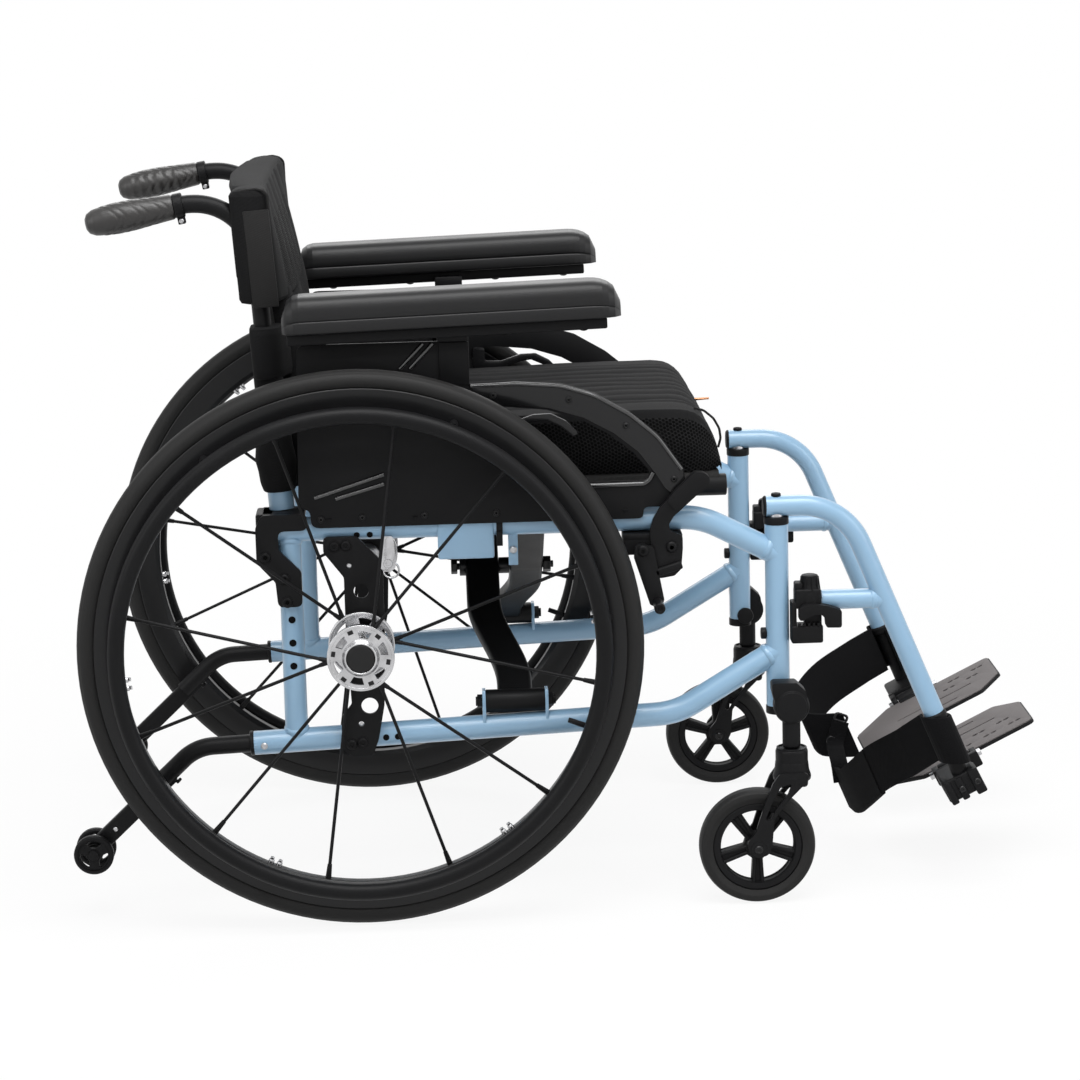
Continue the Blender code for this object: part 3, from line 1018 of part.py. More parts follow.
# Anti-tip bar: a bent tube out of the lower rail's end, and the flat bar that carries two small wheels.
rail_back = Vector((-cos(rail_slope), 0, -sin(rail_slope)))
rail_end = Vector((LOWER_RAIL_REAR[0], y, LOWER_RAIL_REAR[1]))
tip_corner = rail_end + rail_back * ((LOWER_RAIL_REAR[0] - TIP_BEND_X) / cos(rail_slope))
tip_down = Vector((-cos(TIP_ANGLE), 0, -sin(TIP_ANGLE)))
tip_axle = Vector((TIP_WHEEL[0], y, TIP_WHEEL[1]))
tip_foot = tip_corner + tip_down * 0.060
tip_path = fillet([rail_end + rail_back * GAP, tip_corner, tip_foot], 0.050)
bar_middle = (tip_foot + tip_axle) / 2
bar_length = (tip_foot - tip_axle).length + 0.030
flat_bar = box((-bar_length / 2, -0.005, -0.0095), (bar_length / 2, 0.005, 0.0095), 0.002)
flat_bar.transform(Matrix.Translation(bar_middle + tip_down * -0.006) @ Matrix.Rotation(-TIP_ANGLE, 4, "Y"))
tip_pin_radius = 0.003
anti_tip = union(tube(tip_path, TIP_RADIUS, 10), flat_bar,
                 bar(rail_end + rail_back * GAP, rail_end + rail_back * 0.0042, RAIL_RADIUS + 0.0006, 14),
                 bar(tip_axle - Vector((0, 0.008, 0)), tip_axle + Vector((0, 0.008, 0)), 0.0095, 12))
anti_tip = cut(anti_tip, bar(tip_axle - Vector((0, 0.02, 0)), tip_axle + Vector((0, 0.02, 0)),
                             tip_pin_radius + RUN, 10))
pair("anti_tip_bar", anti_tip, "black_metal", rail_end)
disc_in = TIP_WHEEL_SPACING / 2 - 0.0045
tip_profile = [(0, -disc_in - 0.009), (0.0195, -disc_in - 0.009), (TIP_WHEEL_RADIUS, -disc_in - 0.0075),
               (TIP_WHEEL_RADIUS, -disc_in), (tip_pin_radius, -disc_in)]
tip_profile += [(r, -w) for r, w in reversed(tip_profile)]
pair("anti_tip_wheels", turned(tip_profile, tip_axle, steps=16), "tyre_rubber", tip_axle)

# Seat sling: the upholstery that spans both seat rails.
sling_z = SEAT_RAIL_Z + SEAT_RAIL_RADIUS + GAP
free = SEAT_RAIL_Y - 0.008
sling_rows = [(SEAT_RAIL_Y * -1 - 0.006, sling_z)]
for k in range(7):
    across = -1 + k / 3
    sling_rows.append((across * free, sling_z - SLING_SAG * (1 - across * across)))
sling_rows.append((SEAT_RAIL_Y + 0.006, sling_z))
sling_ring = [(a, z) for a, z in sling_rows] + [(a, z + SLING_THICK) for a, z in reversed(sling_rows)]
sling = loft([[(x, a, z) for a, z in sling_ring] for x in (SEAT_REAR + 0.005, SEAT_FRONT - 0.008)])
place("seat_sling", sling, "fabric")

# Seat cushion: a crowned pad with pleats that run fore and aft, drawn-in sides and a sloping front.
cushion_rings = []
base_z = SEAT_RAIL_Z + SEAT_RAIL_RADIUS + SLING_THICK + 2 * GAP
for x, lift, tall, wide in (
        (SEAT_REAR + 0.006, 0, 0.73, 0.96), (SEAT_REAR + 0.012, 0, 0.89, 0.985),
        (SEAT_REAR + 0.105, 0, 0.93, 1), (SEAT_FRONT - 0.170, 0, 0.935, 1), (SEAT_FRONT - 0.110, 0, 0.96, 1),
        (SEAT_FRONT - 0.053, 0, 1, 0.99), (SEAT_FRONT - 0.0266, 0, 0.89, 0.985),
        (SEAT_FRONT - 0.019, 0, 0.70, 0.98), (SEAT_FRONT - 0.011, 0, 0.53, 0.975),
        (SEAT_FRONT - 0.003, 0.005, 0.14, 0.97)):
    half = CUSHION_HALF_WIDTH * wide
    top = CUSHION_HEIGHT * tall
    ring = []
    for k in range(9):
        ring.append((x, (-1 + k / 4) * half * 0.985, base_z + lift))
    ring += [(x, half, base_z + lift + top * 0.35), (x, half * 0.99, base_z + lift + top * 0.75)]
    count = CUSHION_CHANNELS * 3
    for k in range(count + 1):
        across = 1 - 2 * k / count
        pleat = 0.0035 * tall * abs(sin(pi * CUSHION_CHANNELS * k / count))
        crowned = 1 - 0.10 * across ** 4
        ring.append((x, across * half * 0.965, base_z + lift + top * crowned + pleat))
    ring += [(x, -half * 0.99, base_z + lift + top * 0.75), (x, -half, base_z + lift + top * 0.35)]
    cushion_rings.append(ring)
cushion = loft(cushion_rings)
place("seat_cushion", cushion, "fabric")

# Back upholstery: a padded panel in front of the canes, whose side pockets wrap round them.


def back_front(z):
    """How far forward the middle of the panel stands at this height."""
    rise = z - (CANE_TOP_Z - 0.012)
    return CANE_FOOT[0] + 0.029 - 0.10 * rise - rise * rise / (2 * BACK_BOW)


def back_side(z):
    """How far forward its side pockets stand."""
    return CANE_FOOT[0] + 0.0025 - 0.019 * (z - (CANE_TOP_Z - 0.003))


def back_ring(z, half, rear, depth_middle, inset=0.0):
    front = []
    for k in range(9):
        across = -1 + k / 4
        blend = across ** 4
        front.append((back_front(z) * (1 - blend) + back_side(z) * blend - inset, across * half, z))
    step = half - 0.040
    back = [(rear + inset, half, z), (rear + inset, step, z),
            (back_front(z) - depth_middle, step - 0.012, z),
            (back_front(z) - depth_middle - 0.010, 0, z), (back_front(z) - depth_middle, -step + 0.012, z),
            (rear + inset, -step, z), (rear + inset, -half, z)]
    return front + back


def cane_rear(z):
    return cane_point(z).x - 0.0215


pad_low = BACK_TOP - BACK_PAD_HEIGHT
band_high = pad_low - BACK_GAP
band_low = band_high - BACK_BAND_HEIGHT
main_pad = loft([back_ring(pad_low, BACK_HALF_WIDTH - 0.001, cane_rear(pad_low) + 0.002, 0.034, 0.002)]
                + [back_ring(pad_low + share * BACK_PAD_HEIGHT, BACK_HALF_WIDTH,
                             cane_rear(pad_low + share * BACK_PAD_HEIGHT), 0.036)
                   for share in (0.0415, 0.3154, 0.5643, 0.8672)]
                + [back_ring(BACK_TOP - 0.006, BACK_HALF_WIDTH - 0.001, cane_rear(BACK_TOP), 0.034, 0.002),
                   back_ring(BACK_TOP, BACK_HALF_WIDTH - 0.005, cane_rear(BACK_TOP) + 0.004, 0.026, 0.006)])
lower_band = loft([back_ring(z, BACK_HALF_WIDTH - 0.001, cane_rear(z) + 0.004, 0.030, 0.004)
                   for z in (band_low, (band_low + band_high) / 2, band_high)])
curtain_half = CANE_Y - 0.022
curtain_low, curtain_high = band_low - BACK_CURTAIN_DROP, pad_low + 0.013
curtain_rings = []
for share in (0, 0.25, 0.5, 0.75, 1):
    z = curtain_low + share * (curtain_high - curtain_low)
    front = [(back_front(z) - (0.016 if abs(a) > 0.9 else 0.004), a * curtain_half, z)
             for a in (-1, -0.5, 0, 0.5, 1)]
    rear = [(back_front(z) - 0.030, a * curtain_half, z) for a in (1, 0.5, 0, -0.5, -1)]
    curtain_rings.append(front + rear)
curtain = loft(curtain_rings)
tunnels = []
for side in (1, -1):
    tunnel = [tube([cane_point(band_low - 0.03), cane_top + lean * 0.002], CANE_RADIUS + GAP, 12),
              tube(fillet([cane_top - lean * 0.01, corner, grip_start, handle_end], (HANDLE_BEND, 0.03)),
                   HANDLE_RADIUS + GAP, 10)]
    tunnels += tunnel if side > 0 else [mirrored(t) for t in tunnel]
back = cut(union(main_pad, lower_band, curtain), *tunnels)
place("back_upholstery", back, "fabric")

# Calf strap: one band from hanger to hanger behind the calves, looped round each tube.
strap_tilt = Vector((sin(HANGER_SLOPE), 0, -cos(HANGER_SLOPE)))
loop_radius = ((0.0125 + GAP) / cos(HANGER_SLOPE) + STRAP_THICK / 2 + GAP) / cos(radians(18.2))
strap_z = HANGER_END_Z - STRAP_DROP


def on_hanger(z):
    return HANGER_KNEE_X + (HANGER_Z - z) * tan(HANGER_SLOPE)


def strap_loop(side, z, first, last):
    """Points round the tube on one side, between two bearings."""
    steps = 8
    return [Vector((on_hanger(z) + loop_radius * cos(radians(a)),
                    side * FRAME_Y + loop_radius * sin(radians(a)), z))
            for a in (first + (last - first) * k / steps for k in range(steps + 1))]


strap_middle = [  # x from the hanger's, y as a share of the frame's, z from strap_z, and its layers
    (-0.0354, -0.8093, -0.0255, 1), (-0.0704, -0.5209, -0.0635, 1), (-0.0774, -0.2977, -0.0945, 1),
    (-0.0814, -0.2047, -0.1035, 2.6), (-0.0884, -0.0651, -0.1015, 2.6), (-0.1034, 0.0465, -0.0815, 1),
    (-0.1204, 0.1953, -0.0575, 1), (-0.1174, 0.3721, -0.0385, 1), (-0.0864, 0.6047, -0.0205, 1),
    (-0.0404, 0.8372, -0.0065, 1)]
strap_path = [(p, 1) for p in strap_loop(-1, strap_z, 80, -210)]
strap_path += [(Vector((on_hanger(strap_z) + x, share * FRAME_Y, strap_z + z)), thick)
               for x, share, z, thick in strap_middle]
strap_path += [(p, 1) for p in strap_loop(1, strap_z, 210, -80)]
strap_rings = []
for k, (point, thick) in enumerate(strap_path):
    ahead = strap_path[min(k + 1, len(strap_path) - 1)][0] - strap_path[max(k - 1, 0)][0]
    side = Vector((-ahead.y, ahead.x, 0)).normalized() * STRAP_THICK * thick / 2
    half = strap_tilt * STRAP_HEIGHT / 2
    strap_rings.append([point - side + half, point + side + half, point + side - half, point - side - half])
place("calf_strap", loft(strap_rings), "webbing")

# The root moves the chair so that its box is centred in X and Y and stands on Z = 0.
bpy.context.view_layer.update()
corners = [obj.matrix_world @ Vector(c) for obj in parts.objects if obj.type == "MESH" for c in obj.bound_box]
low = [min(c[k] for c in corners) for k in range(3)]
high = [max(c[k] for c in corners) for k in range(3)]
root.location = (-(low[0] + high[0]) / 2, -(low[1] + high[1]) / 2, -low[2])
print("shift", [round(v, 6) for v in root.location], "size", [round(high[k] - low[k], 4) for k in range(3)])
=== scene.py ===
"""The looks of a folding wheelchair with an X frame, dressed over its solid model.

Metres, +Z up, +X forward. The chair's right side is on -Y and faces the camera.
"""

from math import atan2, cos, degrees, hypot, pi, radians, sin, tan

import bmesh
import bpy
from mathutils import Matrix, Vector, noise


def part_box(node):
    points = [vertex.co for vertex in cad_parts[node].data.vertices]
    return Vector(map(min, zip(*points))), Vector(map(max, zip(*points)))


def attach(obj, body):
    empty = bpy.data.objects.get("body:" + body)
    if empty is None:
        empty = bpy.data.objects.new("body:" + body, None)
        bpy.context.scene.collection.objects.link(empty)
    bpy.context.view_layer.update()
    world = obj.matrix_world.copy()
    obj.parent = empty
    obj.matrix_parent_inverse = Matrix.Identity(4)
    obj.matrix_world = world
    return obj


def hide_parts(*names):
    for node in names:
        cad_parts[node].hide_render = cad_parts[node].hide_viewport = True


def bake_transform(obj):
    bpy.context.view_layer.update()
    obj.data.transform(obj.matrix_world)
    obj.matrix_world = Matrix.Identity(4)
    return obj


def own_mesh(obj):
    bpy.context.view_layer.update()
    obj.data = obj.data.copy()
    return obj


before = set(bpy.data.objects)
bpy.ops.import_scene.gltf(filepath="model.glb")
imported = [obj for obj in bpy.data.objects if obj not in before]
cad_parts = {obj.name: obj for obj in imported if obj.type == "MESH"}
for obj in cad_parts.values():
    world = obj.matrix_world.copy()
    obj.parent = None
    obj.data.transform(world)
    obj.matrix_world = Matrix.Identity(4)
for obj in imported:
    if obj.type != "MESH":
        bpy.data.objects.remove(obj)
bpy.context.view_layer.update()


# Every place below is measured from the rear axles, the middle of the chair and the floor. The tyre's
# middle says where the axles stand.
tyre_low, tyre_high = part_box("rear_tyre_R")
axle_x = (tyre_low.x + tyre_high.x) / 2


def at(x, y, z):
    """The place this far ahead of the axles, to the left of the middle and above the floor."""
    return Vector((axle_x + x, y, z))


# Camera: a long lens about three and a half metres from the chair, a little above the armrests, that
# looks down at the right-hand wheel and sees the far side past it.
camera = bpy.data.objects.new("camera", bpy.data.cameras.new("camera"))
camera.data.sensor_width = 36
camera.data.lens = 111.85
camera_place = at(0.08172, -3.67743, 1.0803)
camera_turn, camera_tilt, camera_roll = -0.031413, 0.195352, -0.025265
camera.matrix_world = (Matrix.Translation(camera_place) @ Matrix.Rotation(camera_turn, 4, "Z")
                       @ Matrix.Rotation(pi / 2 - camera_tilt, 4, "X") @ Matrix.Rotation(camera_roll, 4, "Z"))
bpy.context.scene.collection.objects.link(camera)
bpy.context.scene.camera = camera


def node(material, kind, inputs=(), **settings):
    """Adds a shader node. inputs maps a socket's name or number to a value or to another node's output."""
    made = material.node_tree.nodes.new("ShaderNode" + kind)
    for key, value in settings.items():
        setattr(made, key, value)
    for key, value in dict(inputs).items():
        if isinstance(value, bpy.types.NodeSocket):
            material.node_tree.links.new(value, made.inputs[key])
        else:
            made.inputs[key].default_value = value
    return made


# Floor and light: a white paper sweep under a large soft box, with one more box on each side, one behind
# and a narrow strip in front. The paper shows its own white to the camera and in reflections, and keeps
# the chair's shadow near the wheels.


def plainly_seen(material):
    """1 for a ray from the camera, or by way of a mirror or glass, and 0 for any other."""
    path = node(material, "LightPath").outputs
    seen = node(material, "Math", {0: path["Is Camera Ray"], 1: path["Is Glossy Ray"]},
                operation="MAXIMUM").outputs[0]
    return node(material, "Math", {0: seen, 1: path["Is Transmission Ray"]}, operation="MAXIMUM").outputs[0]


paper = bpy.data.materials.new("white_paper")
paper.use_nodes = True
paper_shader = paper.node_tree.nodes["Principled BSDF"]
paper_shader.inputs["Base Color"].default_value = (0.82, 0.82, 0.82, 1)
paper_shader.inputs["Roughness"].default_value = 0.9
far = node(paper, "VectorMath", {0: node(paper, "TexCoord").outputs["Object"]}, operation="LENGTH")
whiter = node(paper, "MapRange", {0: far.outputs["Value"], 1: 0.6, 2: 1.5, 3: 0.9, 4: 1.0})
white_part = node(paper, "Math", {0: plainly_seen(paper), 1: whiter.outputs[0]}, operation="MULTIPLY")
glow = node(paper, "Emission", {"Color": (1, 1, 1, 1), "Strength": 1.0})
both_looks = node(paper, "MixShader", {0: white_part.outputs[0], 1: paper_shader.outputs[0],
                                       2: glow.outputs[0]})
paper.node_tree.links.new(both_looks.outputs[0], paper.node_tree.nodes["Material Output"].inputs["Surface"])
bm = bmesh.new()
bmesh.ops.create_grid(bm, x_segments=1, y_segments=1, size=6)
floor_mesh = bpy.data.meshes.new("floor")
bm.to_mesh(floor_mesh)
bm.free()
floor = bpy.data.objects.new("floor", floor_mesh)
floor.data.materials.append(paper)
floor.location.z = -0.0005
bpy.context.scene.collection.objects.link(floor)

world = bpy.data.worlds.new("studio")
bpy.context.scene.world = world
world.use_nodes = True
strength = node(world, "MapRange", {0: plainly_seen(world), 3: 0.29, 4: 1.0})
sky = world.node_tree.nodes["Background"].inputs
sky["Color"].default_value = (1, 1, 1, 1)
world.node_tree.links.new(strength.outputs[0], sky["Strength"])
for name, place, size, power in (("top_box", (0.3, -1.2, 3.0), (2.6, 1.6), 88),
                                 ("left_box", (-2.6, -1.8, 1.6), (1.6, 1.8), 19),
                                 ("right_box", (2.8, -1.6, 1.5), (1.4, 1.8), 18),
                                 ("back_box", (0.2, 2.6, 2.2), (2.4, 1.2), 27),
                                 ("front_strip", (0.1, -2.3, 2.1), (2.6, 0.12), 11)):
    lamp = bpy.data.lights.new(name, "AREA")
    lamp.shape = "RECTANGLE"
    lamp.size, lamp.size_y = size
    lamp.energy = power
    lamp_object = bpy.data.objects.new(name, lamp)
    spot, aim = at(*place), at(0.15, 0, 0.35)
    facing = (aim - spot).to_track_quat("-Z", "Y").to_matrix().to_4x4()
    lamp_object.matrix_world = Matrix.Translation(spot) @ facing
    bpy.context.scene.collection.objects.link(lamp_object)
bpy.context.scene.view_settings.view_transform = "Standard"


# Side frames: round aluminium tube, bent, mitred and welded, then powder-coated pale blue under a clear
# gloss. The lower rail runs forward into the front post, and the upper rail ends on it.


def material(name, colour, roughness, metallic=0.0, gleam=0.5):
    """A finish and its shader. gleam is how strongly a coat or a plastic mirrors what is round it."""
    made = bpy.data.materials.new(name)
    made.use_nodes = True
    shader = made.node_tree.nodes["Principled BSDF"]
    shader.inputs["Base Color"].default_value = (*colour, 1)
    shader.inputs["Roughness"].default_value = roughness
    shader.inputs["Metallic"].default_value = metallic
    shader.inputs["Specular IOR Level"].default_value = gleam
    made.diffuse_color = (*colour, 1)
    return made, shader


def finish(name, colour, cells, spread, roughness, grain, depth, metallic=0.0, gleam=0.5, lacquer=(0, 0.03)):
    """A finish with uneven colour and shine, over cells of 1 / cells, and a fine grain of this depth.

    spread is how far its colour strays, and lacquer the weight and the roughness of the clear coat.
    """
    made, shader = material(name, colour, sum(roughness) / 2, metallic, gleam)
    shader.inputs["Coat Weight"].default_value, shader.inputs["Coat Roughness"].default_value = lacquer
    where = node(made, "TexCoord").outputs["Object"]
    blotch = node(made, "TexNoise", {"Vector": where, "Scale": cells, "Detail": 3.0})
    tint = node(made, "MixRGB", {0: blotch.outputs["Fac"], 1: (*[c * (1 - spread) for c in colour], 1),
                                 2: (*[c * (1 + spread) for c in colour], 1)})
    made.node_tree.links.new(tint.outputs[0], shader.inputs["Base Color"])
    shine = node(made, "MapRange", {0: blotch.outputs["Fac"], 3: roughness[0], 4: roughness[1]})
    made.node_tree.links.new(shine.outputs[0], shader.inputs["Roughness"])
    fine = node(made, "TexNoise", {"Vector": where, "Scale": grain, "Detail": 2.0})
    bump = node(made, "Bump", {"Height": fine.outputs["Fac"], "Strength": 0.5, "Distance": depth})
    made.node_tree.links.new(bump.outputs["Normal"], shader.inputs["Normal"])
    return made


blue_coat = finish("blue_powder_coat", (0.234, 0.393, 0.552), 9, 0.035, (0.3, 0.42), 420, 0.00006,
                   lacquer=(0.5, 0.08))
steel = finish("zinc_plated_steel", (0.48, 0.48, 0.49), 300, 0.12, (0.22, 0.4), 1500, 0.00002, metallic=1.0)
black = (0.0065, 0.0065, 0.007)
satin_black = finish("satin_black_coat", black, 25, 0.18, (0.34, 0.48), 900, 0.00005, gleam=0.12)
# Matte near-black for painted shade: thin discs in it stand for the shaded insides of holes and screw
# sockets.
painted_hole_shade = material("painted_hole_shade_black", (0.003, 0.003, 0.003), 0.9, gleam=0.1)[0]


def aimed(place, along):
    """The matrix that stands a thing at place with its +Z along this direction."""
    return Matrix.Translation(place) @ Vector(along).to_track_quat("Z", "Y").to_matrix().to_4x4()


def faces_in(made):
    """The faces among what an operator made."""
    return [f for f in made if isinstance(f, bmesh.types.BMFace)]


def bent_tube(bm, corners, radius, bend=0.0, sides=28):
    """A round tube through corners, turned about a former of this radius at each inner one."""
    corners = [Vector(c) for c in corners]
    stand = aimed(corners[0], (corners[1] - corners[0]).normalized())
    first = bmesh.ops.create_circle(bm, cap_ends=True, segments=sides, radius=radius, matrix=stand)["verts"]
    face, here = first[0].link_faces[0], corners[0]
    for before, corner, after in zip(corners, corners[1:], corners[2:] + [None]):
        heading = (corner - before).normalized()
        onward = (after - corner).normalized() if after else heading
        angle = heading.angle(onward)
        reach = bend * tan(angle / 2)
        stop = corner - heading * reach
        face = faces_in(bmesh.ops.extrude_face_region(bm, geom=[face])["geom"])[0]
        bmesh.ops.translate(bm, vec=stop - here, verts=face.verts)
        here = stop
        if angle > 1e-4:
            axis = heading.cross(onward).normalized()
            spun = bmesh.ops.spin(bm, geom=[face], cent=stop + axis.cross(heading) * bend, axis=axis,
                                  angle=angle, steps=max(3, round(angle / radians(4))), use_merge=False)
            face = faces_in(spun["geom_last"])[0]
            here = corner + onward * reach


def rod(bm, start, end, radius, tip=None, sides=24, edge=0.0):
    """A straight round bar, tapered where tip is given, its two rims rounded by edge."""
    start, end = Vector(start), Vector(end)
    made = bmesh.ops.create_cone(bm, cap_ends=True, segments=sides, radius1=radius, radius2=tip or radius,
                                 depth=(end - start).length,
                                 matrix=aimed((start + end) / 2, end - start))["verts"]
    if edge:
        rims = {e for v in made for e in v.link_edges if any(len(f.verts) > 4 for f in e.link_faces)}
        bmesh.ops.bevel(bm, geom=list(rims), offset=edge, segments=2, profile=0.5, affect="EDGES",
                        material=-1)


def block(bm, low, high, edge=0.0, segments=2, turn=None):
    """A block between two corners with rounded edges, turned by a matrix where one is given."""
    low, high = Vector(low), Vector(high)
    made = bmesh.ops.create_cube(bm, size=1, matrix=Matrix.Translation((low + high) / 2)
                                 @ Matrix.Diagonal((*(high - low), 1)))["verts"]
    if edge:
        edges = list({e for v in made for e in v.link_edges})
        made = bmesh.ops.bevel(bm, geom=edges, offset=edge, segments=segments, profile=0.5, affect="EDGES",
                               material=-1)["verts"]
    if turn:
        bmesh.ops.transform(bm, matrix=turn, verts=list(set(made)))


def lathe(bm, profile, centre, axis=(0, 1, 0), steps=72):
    """Spins a profile of (radius, distance along the axis) round the axis through centre."""
    stand = aimed(centre, axis)
    ring = [bm.verts.new(stand @ Vector((r, 0, h))) for r, h in profile]
    line = [bm.edges.new(ends) for ends in zip(ring, ring[1:])]
    if profile[0][0] > 1e-6 and profile[-1][0] > 1e-6:
        line.append(bm.edges.new((ring[-1], ring[0])))
    bmesh.ops.spin(bm, geom=ring + line, cent=centre, axis=stand.to_3x3() @ Vector((0, 0, 1)), angle=2 * pi,
                   steps=steps, use_merge=True)


def rounded_line(profile, radius, steps=5):
    """The profile with its corners rounded, apart from its two ends."""
    points = [Vector((*p, 0)) for p in profile]
    path = [points[0]]
    for before, corner, after in zip(points, points[1:], points[2:]):
        a, b = (before - corner), (after - corner)
        turn = pi - a.angle(b) if a.length > 1e-7 and b.length > 1e-7 else 0
        if turn < radians(8):
            path.append(corner)
            continue
        reach = min(radius * tan(turn / 2), a.length * 0.45, b.length * 0.45)
        start, end = corner + a.normalized() * reach, corner + b.normalized() * reach
        path += [start.lerp(corner, t).lerp(corner.lerp(end, t), t)
                 for t in (k / steps for k in range(steps + 1))]
    return [(p.x, p.y) for p in path + [points[-1]]]


def rounded_outline(outline, radius, steps=4):
    """The closed outline with its corners rounded."""
    points, path = [Vector((*p, 0)) for p in outline], []
    for before, corner, after in zip(points[-1:] + points[:-1], points, points[1:] + points[:1]):
        a, b = before - corner, after - corner
        turn = pi - a.angle(b)
        if turn < radians(4):
            path.append(corner)
            continue
        reach = min(radius * tan(turn / 2), a.length * 0.48, b.length * 0.48)
        start, end = corner + a.normalized() * reach, corner + b.normalized() * reach
        count = max(2, round(steps * min(1, turn / radians(60))))
        path += [start.lerp(corner, t).lerp(corner.lerp(end, t), t)
                 for t in (k / count for k in range(count + 1))]
    return [(p.x, p.y) for p in path]


def turned(bm, profile, rounding, centre, axis, steps, arc=5):
    """A turned part: lathe with the profile's corners rounded."""
    lathe(bm, rounded_line(profile, rounding, arc), centre, axis, steps)


def circle(x, z, radius, sides=24):
    """A round outline."""
    return [(x + radius * cos(2 * pi * k / sides), z + radius * sin(2 * pi * k / sides))
            for k in range(sides)]


def pressing(bm, outlines, low, high, edge=0.0, stand=None):
    """A plate cut to flat outlines in X and Z: the first is its rim and the others are its holes.

    It reaches from low to high in Y. Its sharp edges are rounded by edge, and stand turns it as a whole.
    """
    edges = []
    for outline in outlines:
        ring = [bm.verts.new((axle_x + x, low, z) if stand is None else (x, low, z)) for x, z in outline]
        edges += [bm.edges.new(ends) for ends in zip(ring, ring[1:] + ring[:1])]
    faces = faces_in(bmesh.ops.triangle_fill(bm, use_beauty=True, use_dissolve=False, edges=edges)["geom"])
    raised = bmesh.ops.extrude_face_region(bm, geom=faces, use_keep_orig=True)["geom"]
    top = [v for v in raised if isinstance(v, bmesh.types.BMVert)]
    bmesh.ops.translate(bm, vec=(0, high - low, 0), verts=top)
    whole = set(top) | {v for f in faces if f.is_valid for v in f.verts}
    if edge:
        bmesh.ops.recalc_face_normals(bm, faces=list({f for v in whole for f in v.link_faces}))
        sharp = [e for e in {e for v in whole for e in v.link_edges}
                 if len(e.link_faces) == 2 and abs(e.calc_face_angle(0)) > radians(70)]
        rounded = bmesh.ops.bevel(bm, geom=sharp, offset=edge, segments=2, profile=0.5, affect="EDGES",
                                  clamp_overlap=True, material=-1)["verts"]
        whole = set(rounded) | {v for v in whole if v.is_valid}
    if stand is not None:
        bmesh.ops.transform(bm, matrix=stand, verts=[v for v in whole if v.is_valid])


def finished(name, bm, look, body, nodes=(), sharp=35, weld=True, done=True):
    """Turns bm into a smooth-shaded piece on this body, if it names one, standing for these nodes."""
    if weld:
        bmesh.ops.remove_doubles(bm, verts=bm.verts, dist=1e-6)
        bmesh.ops.recalc_face_normals(bm, faces=bm.faces)
    mesh = bpy.data.meshes.new(name)
    bm.to_mesh(mesh)
    mesh.shade_smooth()
    mesh.set_sharp_from_angle(angle=radians(sharp))
    mesh.materials.append(look)
    piece = bpy.data.objects.new(name, mesh)
    bpy.context.scene.collection.objects.link(piece)
    if body:
        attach(piece, body)
    if nodes:
        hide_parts(*nodes)
    if done:
        bm.free()
    return piece


def pair(name, bm, look, body, nodes=(), sharp=35):
    """The right-hand piece, as modelled, and its mirrored left-hand twin."""
    made = []
    for side in "RL":
        if side == "L":
            bmesh.ops.scale(bm, vec=(1, -1, 1), verts=bm.verts)
            bmesh.ops.reverse_faces(bm, faces=bm.faces)
        made.append(finished(f"{name}_{side}", bm, look, f"{body}_{side}",
                             [f"{n}_{side}" for n in nodes], sharp, weld=side == "R", done=side == "L"))
    return made


def weld_bead(bm, centre, axis, radius, squeeze=1.0):
    """A rippled fillet of weld round the end of a tube."""
    before = set(bm.verts)
    lathe(bm, [(radius + 0.0012 * cos(a), 0.003 * sin(a)) for a in (k * pi / 4 for k in range(8))],
          Vector(), (0, 0, 1), 64)
    new = [v for v in bm.verts if v not in before]
    for v in new:
        around = atan2(v.co.y, v.co.x)
        v.co *= 1 + 0.005 * cos(34 * around)
        v.co.z += (squeeze - 1) * radius * cos(2 * around)
    bmesh.ops.transform(bm, matrix=aimed(centre, axis), verts=new)


frame_y = -0.215
rail_radius, post_radius, upright_radius = 0.0127, 0.0125, 0.0121
rail_rear_x = -0.118
rail_rear, rail_knee = at(rail_rear_x, frame_y, 0.185), at(0.331, frame_y, 0.2027)
post_x, upright_x, upper_z = 0.44, -0.0726, 0.4145
rail_slope = atan2(rail_knee.z - rail_rear.z, rail_knee.x - rail_rear.x)


def rail_z(x):
    """The height of the lower rail's middle."""
    return rail_rear.z + (x - rail_rear_x) * tan(rail_slope)


bm = bmesh.new()
bent_tube(bm, [rail_rear, rail_knee, at(post_x, frame_y, 0.268)], rail_radius, 0.085)
bent_tube(bm, [at(post_x, frame_y, 0.205), at(post_x, frame_y, 0.4085)], post_radius)
bent_tube(bm, [at(upright_x, frame_y, rail_z(upright_x)), at(upright_x, frame_y, upper_z)], upright_radius)
bent_tube(bm, [at(upright_x - upright_radius, frame_y, upper_z), at(0.36, frame_y, upper_z),
               at(post_x, frame_y, 0.3727)], rail_radius, 0.085)
for low, high, edge in (((0.083, -0.2291, 0.3796), (0.142, -0.2002, 0.43), 0.0025),
                        ((0.085, -0.205, 0.412), (0.109, -0.178, 0.432), 0.001),
                        ((0.157, -0.217, 0.369), (0.167, -0.213, 0.4085), 0.001)):
    block(bm, at(*low), at(*high), edge, 3)
